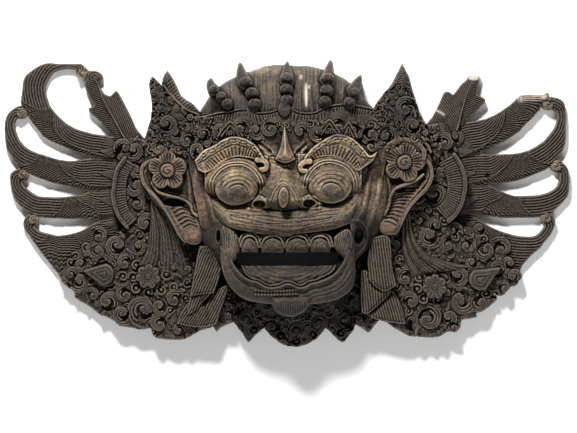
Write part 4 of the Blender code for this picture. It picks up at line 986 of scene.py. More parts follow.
def carve_brow(r, top, low, hand):
    """A brow that stands out over the lid, with lined edge and rays on its lower side."""
    smooth_top, smooth_low = curve(top), curve(low)
    shape = np.vstack([smooth_top, smooth_low[::-1]])
    win, d = r.within(shape)
    X, Y = r.X[win], r.Y[win]
    over, along, _ = r.from_line(smooth_top, X, Y)
    under, share, _ = r.from_line(smooth_low, X, Y)
    rising = under / (under + over + 0.01)
    steps_along = share * length_of(smooth_low)
    form = 94.5 + 9.5 * ease(0.05 + rising) - 3 * (1 - round_over(d, 2.5)) * (rising > 0.5)
    rays = 1 - ridges(steps_along / 2.75 + 0.1 * under * (1 - 2 * share))
    zone = ease((0.55 - rising) / 0.08) * ease((rising - 0.05) / 0.05)
    zone = zone * ease((share - 0.1) / 0.06) * ease((0.97 - share) / 0.04)
    wave = 0.8 * ridges(along * length_of(smooth_top) / 8.5)
    form = form - 2.5 * rays * zone - 1.5 * bell((rising - 0.58) / 0.05)
    for inset, depth in ((2.2, 1.4), (4.8, 1.0), (7.4, 0.8)):
        form = form - depth * bell((over - inset - wave) / 0.65)
    r.raise_to(win, form, d > 0, melt=4)
    for k in range(1, 8):
        a, b = smooth_top[int(k / 8 * (len(smooth_top) - 1))]
        r.groove([(a - 4.0, b + 6.5), (a - 1.5, b + 2.6), (a + 2.5, b + 2.8), (a + 3.2, b + 5.4),
                  (a + 0.6, b + 5.6)], 0.65, 1.6)
    # Lid folds follow the brow's lower line
    for shift, rise in ((2.2, 4.5), (5.6, 3)):
        r.swell([(x, y + shift) for x, y in low[2:-1]], 1.6, rise, taper=1)
    # The inner end rolls up in a hook with a dark hollow
    x, y = low[-1]
    r.rib([(x - hand * 5, y - 3.5), (x + hand * 0.5, y - 3), (x + hand * 4.5, y + 0.5),
           (x + hand * 4, y + 5), (x - hand * 0.5, y + 6)], 2.3, 103, 101, melt=4)
    r.bulge(x - hand * 0.5, y + 2, 3.0, 2)
    r.groove([(x - hand * 4, y + 0.5), (x, y + 1), (x + hand * 1.8, y + 3)], 0.8, 2.4)
    r.groove([(x - hand * 5, y + 7.5), (x + hand * 1, y + 9), (x + hand * 6, y + 7),
              (x + hand * 7.5, y + 1)], 0.9, 3)


def carve_eye(r, x, y):
    """A bulging eye that looks down, under folds of the upper lid."""
    win = r.window(disc(x, y, EYE_SOCKET + 6), 0)
    X, Y = r.X[win], r.Y[win]
    radius = np.hypot(X - x, (Y - y) * (1.06 + 0.12 * ease((Y - y) / 10)))
    r.top[win] -= 4 * bell((radius - EYE_SOCKET + 1) / 3.4) * ease((Y - y) / 8)
    lid = 89 + 17 * bow(radius / 31) - 24 * ease((Y - y + 6) / 16)
    r.raise_to(win, lid, lid > 0, melt=3)
    ball = 93 + 23 * bow(radius / (EYEBALL + 1))
    iris = np.hypot(X - x - 1, (Y - y - 8) * 1.05)
    upper = ease((y + 5 - Y) / 8)
    ball = ball + 2.0 * ease((IRIS - iris) / 1.0) * ease((y + 14 - Y) / 10)
    for k, depth in enumerate((1.9, 1.9, 1.5, 1.2)):
        ball = ball - depth * bell((iris - IRIS - 0.4 - 4.2 * k) / 0.7) * upper
    r.raise_to(win, ball, radius < EYEBALL + 0.8, melt=1.5)
    lids = ease((y + 6 - Y) / 10)
    for reach in (EYEBALL + 2.8, EYEBALL + 5.6):
        r.top[win] += 3.2 * bell((radius - reach) / 1.0) * lids
    r.top[win] -= 4 * bell((radius - EYEBALL - 1) / 1.0) * (1 - lids)


def carve_mouth(r):
    gape = squares(MOUTH_GAPE)
    middle = (MOUTH_LEFT + MOUTH_RIGHT) / 2
    floor = LIPS_MEET + gape
    win, d = r.within(JAW)
    r.raise_to(win, 84 + 17 * round_over(d, 15), d > 0, melt=6)
    # The upper lip: a ledge under the eyes and nose, wavy folds, and a full lower edge
    r.swell(LEDGE, 4.2, 6, taper=1)
    r.groove([(x, y - 4.5) for x, y in LEDGE[1:-1]], 0.9, 2.4)
    win, d = r.within(LIP)
    aside = np.abs(r.X[win] - FACE_X)
    r.raise_to(win, 90 + 20 * round_over(d, 9) - 16 * ease((aside - 38) / 40), d > 0, melt=6)
    for k, (shift, depth) in enumerate(((2.6, 1.8), (5.4, 1.5), (8.2, 1.7), (11.4, 1.2),
                                        (15.2, 0.9))):
        bend = [(x, y + shift * (1 - 0.18 * (abs(x - FACE_X) / 70) ** 2)
                 + 1.1 * np.sin(0.11 * x + 1.9 * k)) for x, y in LEDGE[2:-2]]
        r.groove(bend, 0.75, depth)
    # The mouth's inside falls back behind the teeth and the lower lip
    r.sink(MOUTH, 74, 2.4)
    win, d = r.within(TONGUE)
    tongue = 90 + 9 * ease((r.Y[win] - floor) / 9)
    tongue = tongue - 1.3 * (1 - ridges((r.Y[win] + 0.012 * (r.X[win] - FACE_X) ** 2) / 4.6))
    tongue = tongue - 1.6 * bell((d - 2.6) / 0.6)
    r.raise_to(win, tongue, d > 0)
    for x, half in TEETH:
        tooth = loop([(x - half, LIPS_MEET), (x - half, LIPS_MEET - 8), (x - 0.5, LIPS_MEET - 14.5),
                      (x + half, LIPS_MEET - 8), (x + half, LIPS_MEET)],
                     [(x + half, LIPS_MEET), (x, LIPS_MEET + 0.5), (x - half, LIPS_MEET)])
        r.lay(tooth, 93, 105, 8, outline=False)
        r.groove([(x - half * 0.5, LIPS_MEET - 3), (x - half * 0.3, LIPS_MEET - 9),
                  (x + half * 0.2, LIPS_MEET - 11)], 0.9, 1.2)
        for grow, height in ((0.8, 100), (3.0, 96)):
            gum = [(x - half - grow, LIPS_MEET - 6),
                   (x - half * 0.62 - grow, LIPS_MEET - 13 - grow),
                   (x, LIPS_MEET - 15.5 - grow),
                   (x + half * 0.62 + grow, LIPS_MEET - 13 - grow),
                   (x + half + grow, LIPS_MEET - 6)]
            r.rib(gum, 1.15, height, height, melt=2)
    # A fang hangs at each corner of the mouth, with the cheek's folds beside it
    for fang, out in ((LEFT_FANG, -1), (RIGHT_FANG, 1)):
        r.lay(fang, 90, 99, 7, outline=False)
        x = middle + out * 55
        for k in range(5):
            r.groove([(x + out * (6 - 3 * k), 224 + k), (x + out * (3 - 2.4 * k), 236 + k),
                      (x - out * (1 + 2.2 * k), 250 + 1.5 * k)], 0.75, 1.5)
    for k in range(5):
        r.groove([(217 + 2.2 * k, 222), (220 + 2.4 * k, 233), (221 + 2.2 * k, 246)], 0.65, 1.4)
    r.swell([(350, 222), (355, 219), (362, 223), (365.5, 233), (364, 244), (359, 251), (352, 254)],
            1.9, 6, taper=1)
    r.swell([(347, 228), (350, 238), (349, 248)], 1.6, 4, taper=1)
    r.sink(disc(357, 234.5, 4.6, 8.5), 66, 2.5)
    r.sink(disc(219, 235, 2.2, 6), 70, 2)
    # The lower lip: a rolled edge round the mouth with lines under it
    r.swell(LOWER_LIP, 2.6, 4.5, taper=1)
    for shift, depth, part in ((4.6, 1.6, slice(1, -1)), (9.0, 1.2, slice(9, -1)),
                               (12.5, 1.4, slice(9, -1))):
        grown = [(x + (x - 287) / 60 * shift * 0.7, y + shift) for x, y in LOWER_LIP[part]]
        r.groove(grown, 0.75, depth)
    r.lay(CHIN_TAB, 90, 103, 7, outline=False)
    win, d = r.within(CHIN_TAB)
    flutes = 1.7 * (1 - ridges(r.X[win] / 2.3)) * ease((r.Y[win] - 297) / 3)
    r.top[win] -= np.where(d > 1, flutes, 0)
    for row in (0, 1):
        for k in range(14):
            r.knob(256 + 3.0 * k, 288.2 + 3.6 * row - 0.012 * (k - 6) ** 2, 1.35, 103.2)
    slot = loop([(MOUTH_LEFT, LIPS_MEET + gape / 2), (MOUTH_LEFT + 4, LIPS_MEET),
                 (middle, LIPS_MEET), (MOUTH_RIGHT - 4, LIPS_MEET),
                 (MOUTH_RIGHT, LIPS_MEET + gape / 2)],
                [(MOUTH_RIGHT, LIPS_MEET + gape / 2), (MOUTH_RIGHT - 5, floor),
                 (middle, floor), (MOUTH_LEFT + 5, floor),
                 (MOUTH_LEFT, LIPS_MEET + gape / 2)])
    r.pierce(slot)


def carve_beard(r):
    """Scrolled locks under the jaw, which rise from their tips towards the chin."""
    win, d = r.spread(BEARD)
    r.raise_to(win, 16 + 8 * round_over(d, 7) + 1.1 * np.clip(d, 0, 34), d > 0)
    for inset in (2.4, 5.0):
        lined = 1.6 * bell((d - inset) / 0.6) * ease((r.Y[win] - 306) / 10)
        r.top[win] -= np.where(d > 0, lined, 0)
    # Straps of strands that sweep down from the jaw
    for hand in (-1, 1):
        for shift in (0, 3.0, 6.0, 9.0):
            strap = ((54 - shift * 0.3, 288), (40, 300), (30, 308), (20, 315), (2, 319))
            r.swell([(FACE_X + hand * x, y + shift) for x, y in strap], 1.0, 3.2)
        for shift in (0, 3.2, 6.4):
            strap = ((64, 286), (57, 302), (51, 318))
            r.swell([(FACE_X + hand * (x - shift), y) for x, y in strap], 0.9, 2.8)
    fill_ground(r, BEARD, 7, 22, 2.2, 3.8, BEARD_SCROLLS)
    carve_scrolls(r, BEARD_SCROLLS, 5)


def carve_holes(r):
    """The slit beside the jaw, the gap under the right tassel and a hole in a right feather."""
    r.pierce(loop([(356, 277), (358, 274), (359, 277)], [(359, 288), (357, 283)]))
    r.pierce(loop([(405, 325), (408, 317), (411, 319)], [(412, 330), (408, 329)]))
    r.pierce(disc(486, 174.5, 2.4))


def tool_marks(r):
    """Small unevenness left by the tools and by years of wear."""
    X, Y = r.X, r.Y
    r.top += 0.8 * noise(X, Y, 7, 31) + 0.5 * noise(X, Y, 2.6, 32) + 0.3 * noise(X, Y, 1.3, 33)


def carve_front():
    r = Relief(squares(GRID))
    carve_wings(r)
    carve_panels(r)
    carve_collars(r)
    carve_beard(r)
    carve_crown(r)
    carve_crown_scrolls(r)
    carve_drapes(r)
    carve_ears(r)
    carve_tassels(r)
    carve_face(r)
    carve_mouth(r)
    carve_holes(r)
    tool_marks(r)
    return r


def hollow_back(r):
    """Heights of the back: flat, but for the hollow that follows the face from behind."""
    wall, rim = steps(WALL), squares(BACK_RIM)
    dx = (r.X - HOLLOW_X) / HOLLOW_HALF_WIDE
    dy = (r.Y - HOLLOW_Y) / np.where(r.Y < HOLLOW_Y, HOLLOW_Y - DOME_TOP - rim, HOLLOW_DOWN)
    span = (np.abs(dx) ** 2.4 + np.abs(dy) ** 2.4) ** (1 / 2.4)
    bowl = steps(HOLLOW_DEEP) * bow(span)
    gouges = 0.8 * noise(r.X, r.Y, 6, 41) * (bowl > 2)
    reach = max(1, int(round(squares(WALL) * 0.5 / r.gap)))
    low = r.top.copy()
    for axis in (0, 1):
        line = low.copy()
        for shift in range(1, reach + 1):
            for way in (shift, -shift):
                line = np.minimum(line, np.roll(low, way, axis))
        low = line
    return np.clip(np.minimum(bowl + gouges, low - wall), 0, None)


BLOCK = 4                # cells a side of one face of the back, away from the outline


def cut_cells(r):
    """The outline's cells: extra points where it crosses the grid, faces, and the rim's edges."""
    inside = r.edge > 0
    field = np.where(inside, np.maximum(r.edge, 0.14 * r.gap), np.minimum(r.edge, -0.14 * r.gap))
    number = np.full(inside.shape, -1)
    number[inside] = np.arange(inside.sum())
    whole = inside[:-1, :-1] & inside[1:, :-1] & inside[:-1, 1:] & inside[1:, 1:]
    touched = inside[:-1, :-1] | inside[1:, :-1] | inside[:-1, 1:] | inside[1:, 1:]
    seen, extra, faces, cells, rim = {}, [], [], [], []
    count = int(inside.sum())

    def crossing(a, b):
        if not inside[a]:
            a, b = b, a
        if (a, b) not in seen:
            t = field[a] / (field[a] - field[b])
            seen[(a, b)] = count + len(extra)
            extra.append((r.x[a[1]] + t * (r.x[b[1]] - r.x[a[1]]),
                          r.y[a[0]] + t * (r.y[b[0]] - r.y[a[0]]), a[0], a[1]))
        return seen[(a, b)]

    for j, i in zip(*(k.tolist() for k in np.nonzero(touched & ~whole))):
        around = [(j, i), (j, i + 1), (j + 1, i + 1), (j + 1, i)]
        flags = [bool(inside[c]) for c in around]
        shape, cut = [], []
        for k in range(4):
            a, b = around[k], around[(k + 1) % 4]
            if flags[k]:
                shape.append(int(number[a]))
                cut.append(False)
            if flags[k] != flags[(k + 1) % 4]:
                shape.append(crossing(a, b))
                cut.append(True)
        parts = [list(range(len(shape)))]
        if flags in ([True, False, True, False], [False, True, False, True]):
            parts = [[5, 0, 1], [2, 3, 4]] if flags[0] else [[0, 1, 2], [3, 4, 5]]
        for part in parts:
            faces.append([shape[k] for k in part])
            cells.append(i)
            rim.extend((shape[k], shape[m]) for k, m in zip(part, part[1:] + part[:1])
                       if cut[k] and cut[m])
    return inside, number, whole, np.array(extra), faces, cells, rim


def normals_of(spots, quads, others):
    """Smooth normals of the front, from all its faces, so that its pieces meet without a seam."""
    total = np.zeros(spots.shape)
    a, b, c, d = (spots[quads[:, k]] for k in range(4))
    across = np.cross(c - a, d - b)
    for k in range(4):
        for axis in range(3):
            total[:, axis] += np.bincount(quads[:, k], across[:, axis], len(spots))
    for face in others:
        p = spots[face]
        area = np.cross(p[1:-1] - p[0], p[2:] - p[0]).sum(0)
        total[face] += area
    return total / np.maximum(np.linalg.norm(total, axis=1), 1e-12)[:, None]


def make_piece(name, spots, faces, normals=None, tones=None):
    """A mesh of the points that these faces use."""
    sizes = np.array([len(f) for f in faces])
    corners = np.concatenate([np.asarray(f) for f in faces])
    used, local = np.unique(corners, return_inverse=True)
    mesh = bpy.data.meshes.new(name)
    mesh.vertices.add(len(used))
    mesh.vertices.foreach_set("co", spots[used].ravel())
    mesh.loops.add(len(corners))
    mesh.loops.foreach_set("vertex_index", local.ravel().astype(np.int32))
    mesh.polygons.add(len(sizes))
    starts = np.concatenate([[0], np.cumsum(sizes)[:-1]])
    mesh.polygons.foreach_set("loop_start", starts.astype(np.int32))
    mesh.update(calc_edges=True)
    mesh.validate()
    mesh.shade_smooth()
    if normals is not None:
        mesh.normals_split_custom_set_from_vertices(normals[used].tolist())
    for key, values in (tones or {}).items():
        layer = mesh.attributes.new(key, "FLOAT", "POINT")
        layer.data.foreach_set("value", values[used].astype(np.float32))
    piece = bpy.data.objects.new(name, mesh)
    bpy.context.scene.collection.objects.link(piece)
    return piece


def tones_of(r):
    """How deep each point lies among its neighbours, for the painted shade and highlight, and where
    the wood is tan, red, or dark from soot and painted shade.
    """
    wide = blur(r.top, int(5 / r.gap))
    close = blur(r.top, max(1, int(1.3 / r.gap)))
    return {"relief": np.clip((r.top - close) / 2.4, -1, 1),
            "shelter": np.clip((r.top - wide) / 14, -1, 1),
            "tan": np.clip(r.tan, 0, 1), "red": np.clip(r.red, 0, 1),
            "soot": np.clip(r.soot, 0, 1), "pale": np.clip(r.pale, 0, 1)}


def build_mask():
    r = carve_front()
    tint_all(r)
    back = hollow_back(r)
    inside, number, whole, extra, cut, cells, rim = cut_cells(r)
    j, i = np.nonzero(inside)
    ej, ei = extra[:, 2].astype(int), extra[:, 3].astype(int)
    X, Y = np.concatenate([r.x[i], extra[:, 0]]), np.concatenate([r.y[j], extra[:, 1]])
    jj, ii = np.concatenate([j, ej]), np.concatenate([i, ei])
    x, y = (X - MIDDLE_X) * SQUARE, (MIDDLE_Y - Y) * SQUARE
    x, y = x - (x.min() + x.max()) / 2, y - (y.min() + y.max()) / 2
    low = back[jj, ii] * STEP
    top = np.maximum(r.top[jj, ii] * STEP, low + THINNEST)
    front = np.stack([x, y, top], 1)
    rear = np.stack([x, y, low], 1)
    qj, qi = np.nonzero(whole)
    quads = np.stack([number[qj + 1, qi], number[qj + 1, qi + 1], number[qj, qi + 1],
                      number[qj, qi]], 1)
    turned = [face[::-1] for face in cut]
    normals = normals_of(front, quads, turned)
    tones = {key: field[jj, ii] for key, field in tones_of(r).items()}
    cuts = np.quantile(qi, np.linspace(0, 1, PIECES + 1)[1:-1]).astype(int)
    pieces = []
    of_quad, of_cell = np.searchsorted(cuts, qi), np.searchsorted(cuts, cells)
    for k in range(PIECES):
        faces = quads[of_quad == k].tolist() + [f for f, c in zip(turned, of_cell) if c == k]
        pieces.append(make_piece(f"carving_{k + 1}", front, faces, normals, tones))
    # The back: large faces away from the outline and from the hollow's edge, and walls up to
    # the front's rim
    rows, columns = np.array(whole.shape) // BLOCK
    corners = np.stack([back[:-1, :-1], back[1:, :-1], back[:-1, 1:], back[1:, 1:]])
    even = whole & ((corners.min(0) > 0) | (corners.max(0) <= 0))
    trimmed = even[:rows * BLOCK, :columns * BLOCK].reshape(rows, BLOCK, columns, BLOCK)
    full = np.pad(trimmed.all((1, 3)), 1)
    under = []
    for bj, bi in zip(*(k.tolist() for k in np.nonzero(full[1:-1, 1:-1]))):
        j0, i0 = bj * BLOCK, bi * BLOCK
        face = []
        for dj, di, sj, si, open_side in ((0, 0, 0, 1, full[bj, bi + 1]),
                                          (0, BLOCK, 1, 0, full[bj + 1, bi + 2]),
                                          (BLOCK, BLOCK, 0, -1, full[bj + 2, bi + 1]),
                                          (BLOCK, 0, -1, 0, full[bj + 1, bi])):
            for step in range(1 if open_side else BLOCK):
                face.append(int(number[j0 + dj + sj * step, i0 + di + si * step]))
        under.append(face)
    covered = np.zeros(whole.shape, bool)
    covered[:rows * BLOCK, :columns * BLOCK] = np.kron(full[1:-1, 1:-1],
                                                       np.ones((BLOCK, BLOCK), bool))
    sj, si = np.nonzero(whole & ~covered)
    small = np.stack([number[sj, si], number[sj, si + 1], number[sj + 1, si + 1],
                      number[sj + 1, si]], 1).tolist()
    total = len(front)
    walls = [[b + total, a + total, a, b] for a, b in rim]
    both = np.vstack([rear, front])
    # The back's points take no tints and a slightly low relief, so painted shade darkens the back
    # and the walls towards the floor
    doubled = {key: np.concatenate([values * 0 - 0.1 * (key == "relief"), values])
               for key, values in tones.items()}
    behind = make_piece("carving_back", both, under + small + cut + walls, None, doubled)
    behind.data.set_sharp_from_angle(angle=0.6)
    return pieces + [behind]


# Oval stains, worn spots and painted shade: kind, X, Y, the two radii, strength, and how softly the
# edge fades
STAINS = [
    # Tan: the left inner peak, the right ear's top and the dome's top edge
    ("tan", 180, 94, 9, 18, 0.3, 6), ("tan", 404, 142, 18, 5, 0.4, 4),
    ("tan", 262, 71, 18, 4, 0.7, 6), ("tan", 312, 72, 26, 4, 0.4, 6),
    # Red: the left ear's rim, the upper lip, the right lid, the mouth and the temples
    ("red", 149, 188, 5, 8, 0.5, 4), ("red", 290, 222, 26, 8, 0.4, 6),
    ("red", 331, 176, 15, 9, 0.45, 4), ("red", 281, 256, 30, 5, 0.25, 5),
    ("red", 330, 178, 15, 11, 0.35, 6), ("red", 206, 205, 9, 36, 0.6, 6),
    ("red", 368, 198, 9, 26, 0.4, 6),
    # Soot: under the eyes, over the nose, round the mouth, in the left ear and on the peaks, with
    # painted shade among them
    ("soot", 236, 196, 14, 11, 0.62, 8), ("soot", 330, 196, 15, 8, 0.3, 6),
    ("soot", 286, 240, 52, 8, 0.4, 4), ("soot", 215, 236, 13, 26, 0.75, 9),
    ("soot", 359, 236, 14, 28, 1.0, 9), ("soot", 286, 219, 66, 13, 0.42, 7),
    ("soot", 286, 196, 36, 16, 0.15, 6), ("soot", 187, 176, 4, 9, 0.6, 4),
    # Painted shade: the left ear's hollow, and under the right brow's tip
    ("soot", 176, 201, 12, 5, 0.8, 3), ("soot", 355, 168, 10, 7, 0.35, 5),
    ("soot", 168, 112, 20, 32, 0.45, 10), ("soot", 398, 112, 20, 30, 0.45, 10),
    # Pale: a streak of paint on the dome, and two drops
    ("pale", 305, 96, 1.3, 12, 0.9, 1.2), ("pale", 300, 78, 1.2, 2, 0.6, 1.5),
    ("pale", 308, 88, 1.2, 1.5, 0.6, 1.5)]
UPPER_TEETH = loop([(240, 236), (332, 236)], [(332, 236), (332, 250), (240, 250), (240, 236)])
# Bare wood at the broken leaf and feather, and an old crack: outline, strength, fade
BREAKS = [(loop([(467, 75), (479, 75)], [(479, 75), (478, 79), (468, 79), (467, 75)]), 0.8, 1),
          (loop([(515, 96), (524, 94), (545, 94)],
                [(545, 94), (543, 98), (520, 101), (515, 96)]), 0.55, 2),
          (loop([(435, 108), (444, 113)], [(444, 113), (443, 115), (435, 110)]), 0.7, 1)]


def tint_all(r):
    """Where handling and old paint leave the wood tan or reddish, and where soot and painted shade
    leave it dark.
    """
    r.tint(r.tan, FACE, 1.0)
    # It fades down towards the jaw and at the cheeks, and on the crown it stays over the brows
    middle = (np.abs(r.X - MIDDLE_X) < 95) * (r.Y > 120)
    r.tan *= 1 - middle * (0.08 * ease((r.Y - 164) / 8) + 0.20 * ease((r.Y - 184) / 14)
                           + 0.42 * ease((r.Y - 218) / 12))
    outside = ease((np.abs(r.X - MIDDLE_X) - 66) / 12)
    r.tan *= 1 - middle * 0.5 * outside * ease((r.Y - 208) / 12)
    r.tint(r.tan, disc(205, 190, 8, 24), 0.8, 7)
    r.tint(r.tan, disc(371, 186, 9, 26), 0.85, 7)
    r.tint(r.tan, DOME, 0.14)
    low = ease((r.Y - 96) / 8) * ease((150 - r.Y) / 6)
    top_of_face = bell((np.abs(r.X - FACE_X) - 52) / 26) * ease((r.Y - 136) / 5)
    r.tan *= 1 - low * (1 - top_of_face)
    for claw, beads, size in FINIALS:
        for x, y in claw + beads:
            win = r.window(disc(x, y, size + 2), 0)
            away = np.hypot(r.X[win] - x, r.Y[win] - y)
            r.tan[win] *= ease((away - size + 1) / 2)
        # Painted shade on the lower side of each bead
        for x, y in beads:
            r.tint(r.soot, disc(x, y + size * 0.45, size * 0.8, size * 0.5), 1.0, 2)
        for x, y in claw[:2] + beads:
            r.tint(r.soot, disc(x, y, size), 0.35, 2)
    for kind, x, y, rx, ry, amount, soft in STAINS:
        r.tint(getattr(r, kind), disc(x, y, rx, ry), amount, soft)
    for points, amount, soft in BREAKS:
        r.tint(r.pale, points, amount, soft)
    r.tint(r.tan, HORN, 0.9)
    r.tint(r.red, HORN, 0.4)
    r.tint(r.red, disc(NOSE_KNOB[0], NOSE_KNOB[1] + 2, 5, 9), 0.55)
    for x, y in (LEFT_EYE, RIGHT_EYE):
        r.tint(r.soot, disc(x, y + 8, 10, 9), 0.3, 5)
    for ear, _, _, _, (x, y) in EARS:
        r.tint(r.tan, ear, 0.24)
        r.tint(r.red, ear, 0.25)
        r.tint(r.tan, disc(x, y - 1, 9), 0.42, 5)
        r.tint(r.red, disc(x, y - 1, 8), 0.45, 5)
    for (x, y), size, turn in EAR_FLOWERS:
        r.tint(r.tan, disc(x, y, size), 0.38)
        r.tint(r.red, disc(x, y, size * 0.36), 0.4)
        # Painted shade in the hollow of each petal
        for a in petal_angles(turn):
            r.tint(r.soot, disc(*polar(x, y, 0.56 * size, a), 0.24 * size), 0.55, 2.5)
    for points, _, _ in TASSELS:
        r.tint(r.tan, points, 0.08)
        r.tint(r.soot, points, 0.15)
    for _, hook, _ in FEATHERS.values():
        r.tint(r.tan, disc(*np.mean(hook, 0), 6), 0.4, 2)
    r.tint(r.soot, BEARD, 0.7, 5)
    r.tint(r.soot, UPPER_TEETH, 0.45, 3)


def node(tree, kind, **values):
    made = tree.nodes.new(kind)
    for key, value in values.items():
        if key in made.inputs.keys():
            made.inputs[key].default_value = value
        else:
            setattr(made, key, value)
    return made


def mix(tree, share, first, second):
    """A colour mix; each of the three is a socket or a plain value."""
    made = tree.nodes.new("ShaderNodeMix")
    made.data_type = "RGBA"
    for socket, value in ((made.inputs[0], share), (made.inputs[6], first),
                          (made.inputs[7], second)):
        if isinstance(value, bpy.types.NodeSocket):
            tree.links.new(value, socket)
        elif isinstance(value, tuple):
            socket.default_value = (*value, 1)
        else:
            socket.default_value = value
    return made.outputs[2]


def ramp(tree, value, *stops):
    """A value remapped through (at, result) stops."""
    made = tree.nodes.new("ShaderNodeValToRGB")
    bar = made.color_ramp
    while len(bar.elements) < len(stops):
        bar.elements.new(0.5)
    for element, (at, level) in zip(bar.elements, stops):
        element.position = at
        element.color = (level, level, level, 1)
    tree.links.new(value, made.inputs[0])
    return made.outputs[0]


def lift(tree, value, scale, offset):
    made = node(tree, "ShaderNodeMath", operation="MULTIPLY_ADD")
    tree.links.new(value, made.inputs[0])
    made.inputs[1].default_value, made.inputs[2].default_value = scale, offset
    return made.outputs[0]


def old_wood():
    """Dry carved hardwood: near-black to brown, tan where worn, with stains, dirt, dust, painted
    shade and a painted highlight.
    """
    material = bpy.data.materials.new("old_carved_wood")
    material.use_nodes = True
    tree = material.node_tree
    shader = tree.nodes["Principled BSDF"]
    place = tree.nodes.new("ShaderNodeTexCoord").outputs["Object"]

    def cloud(scale, detail, stretch=(1, 1, 1), rough=0.55):
        mapping = node(tree, "ShaderNodeMapping")
        mapping.inputs["Scale"].default_value = stretch
        tree.links.new(place, mapping.inputs["Vector"])
        made = node(tree, "ShaderNodeTexNoise", Scale=scale, Detail=detail, Roughness=rough)
        tree.links.new(mapping.outputs[0], made.inputs["Vector"])
        return made.outputs["Fac"]

    def tone(name):
        return node(tree, "ShaderNodeAttribute", attribute_name=name).outputs["Fac"]

    grain = cloud(55, 6, (1, 0.12, 1))
    grime = cloud(150, 5, rough=0.7)
    hue = cloud(70, 4, rough=0.6)
    blotch = cloud(9, 4)
    stain = cloud(26, 5, rough=0.65)
    speck = cloud(420, 3)
    patches = ramp(tree, blotch, (0.35, 0), (0.65, 1))
    dark = mix(tree, patches, (0.036, 0.029, 0.0235), (0.062, 0.047, 0.035))
    tan = mix(tree, patches, (0.350, 0.273, 0.190), (0.590, 0.460, 0.318))
    tan = mix(tree, ramp(tree, hue, (0.46, 0), (0.60, 0.8)), tan, (0.500, 0.345, 0.150))
    tan = mix(tree, ramp(tree, stain, (0.50, 0), (0.66, 0.65)), tan, (0.340, 0.200, 0.140))
    wood = mix(tree, tone("tan"), dark, tan)
    wood = mix(tree, tone("red"), wood, (0.24, 0.105, 0.060))
    # Height against near and wider neighbours: places the painted shade in cuts and hollows and the
    # painted highlight on ridges
    high, hollow_shade = (lift(tree, tone(name), 0.5, 0.5) for name in ("relief", "shelter"))
    dust_and_highlight = mix(tree, tone("tan"), (0.130, 0.105, 0.081), (0.440, 0.345, 0.240))
    # Layers from the bottom up: the value that places one, its (at, share) stops, and its colour
    for value, first, last, colour in (
            (grain, (0.42, 0.4), (0.62, 0), (0.020, 0.016, 0.013)),
            (stain, (0.44, 0.6), (0.60, 0), (0.022, 0.019, 0.017)),
            (hue, (0.34, 0.45), (0.5, 0), (0.055, 0.046, 0.048)),
            (hue, (0.54, 0), (0.68, 0.45), (0.066, 0.062, 0.038)),
            (grime, (0.36, 0.75), (0.52, 0), (0.014, 0.012, 0.011)),
            # Painted shade and dirt in the cuts and broad hollows, wear with a painted highlight on
            # the ridges, pale dust
            (high, (0.34, 0.97), (0.53, 0), (0.005, 0.0045, 0.0045)),
            (hollow_shade, (0.22, 0.8), (0.45, 0), (0.008, 0.007, 0.007)),
            (high, (0.53, 0), (0.76, 0.85), dust_and_highlight),
            (speck, (0.52, 0), (0.80, 0.4), (0.100, 0.087, 0.071))):
        wood = mix(tree, ramp(tree, value, first, last), wood, colour)
    # Soot, and painted shade in some hollows and under some parts, darken the wood
    wood = mix(tree, lift(tree, tone("soot"), 0.85, 0), wood, (0.012, 0.012, 0.012))
    wood = mix(tree, tone("pale"), wood, (0.52, 0.46, 0.38))
    tree.links.new(wood, shader.inputs["Base Color"])
    rough = ramp(tree, speck, (0.3, 0.55), (0.7, 0.78))
    tree.links.new(rough, shader.inputs["Roughness"])
    shader.inputs["Specular IOR Level"].default_value = 0.15
    bump = node(tree, "ShaderNodeBump", Strength=0.35, Distance=0.0008)
    tree.links.new(grain, bump.inputs["Height"])
    fine = node(tree, "ShaderNodeBump", Strength=0.3, Distance=0.0004)
    tree.links.new(speck, fine.inputs["Height"])
    tree.links.new(bump.outputs[0], fine.inputs["Normal"])
    tree.links.new(fine.outputs[0], shader.inputs["Normal"])
    return material


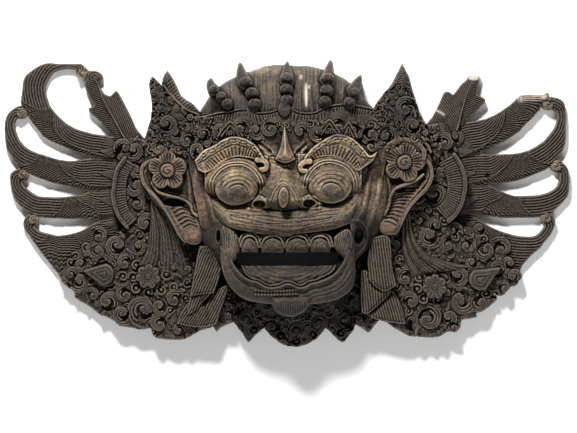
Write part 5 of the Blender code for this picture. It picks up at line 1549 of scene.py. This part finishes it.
def make_floor():
    mesh = bpy.data.meshes.new("floor")
    size = 3.0
    mesh.from_pydata([(-size, -size, 0), (size, -size, 0), (size, size, 0), (-size, size, 0)],
                     [], [(0, 1, 2, 3)])
    floor = bpy.data.objects.new("floor", mesh)
    bpy.context.scene.collection.objects.link(floor)
    material = bpy.data.materials.new("pale_floor")
    material.use_nodes = True
    shader = material.node_tree.nodes["Principled BSDF"]
    shader.inputs["Base Color"].default_value = (0.93, 0.93, 0.93, 1)
    shader.inputs["Roughness"].default_value = 0.9
    shader.inputs["Specular IOR Level"].default_value = 0.2
    mesh.materials.append(material)


def area_light(name, place, aim, size, power):
    data = bpy.data.lights.new(name, "AREA")
    data.shape, data.size, data.energy = "DISK", size, power
    lamp = bpy.data.objects.new(name, data)
    lamp.location = place
    lamp.rotation_euler = (Vector(aim) - Vector(place)).to_track_quat("-Z", "Y").to_euler()
    bpy.context.scene.collection.objects.link(lamp)


def make_camera():
    """Straight above the mask, framed as in the photograph."""
    high, sensor = 6.0, 36.0
    data = bpy.data.cameras.new("camera")
    data.sensor_width = sensor
    data.lens = sensor * high / (PHOTO_WIDE * SQUARE)
    data.clip_end = 50
    camera = bpy.data.objects.new("camera", data)
    camera.location = ((PHOTO_WIDE / 2 - MIDDLE_X) * SQUARE,
                       (MIDDLE_Y - PHOTO_HIGH / 2) * SQUARE, high)
    bpy.context.scene.collection.objects.link(camera)
    bpy.context.scene.camera = camera


def make_world():
    world = bpy.data.worlds.new("studio")
    world.use_nodes = True
    world.node_tree.nodes["Background"].inputs["Color"].default_value = (1, 1, 1, 1)
    world.node_tree.nodes["Background"].inputs["Strength"].default_value = 0.18
    bpy.context.scene.world = world
    bpy.context.scene.view_settings.view_transform = "Standard"


pieces = build_mask()
wood = old_wood()
for piece in pieces:
    piece.data.materials.append(wood)
    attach(piece, "root")
    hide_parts("barong_mask")
make_floor()
make_world()
area_light("key", (-0.4, 1.7, 2.2), (0, 0, 0.05), 0.5, 145)
area_light("fill", (0.5, -2.4, 2.2), (0, 0, 0.05), 1.6, 60)
make_camera()
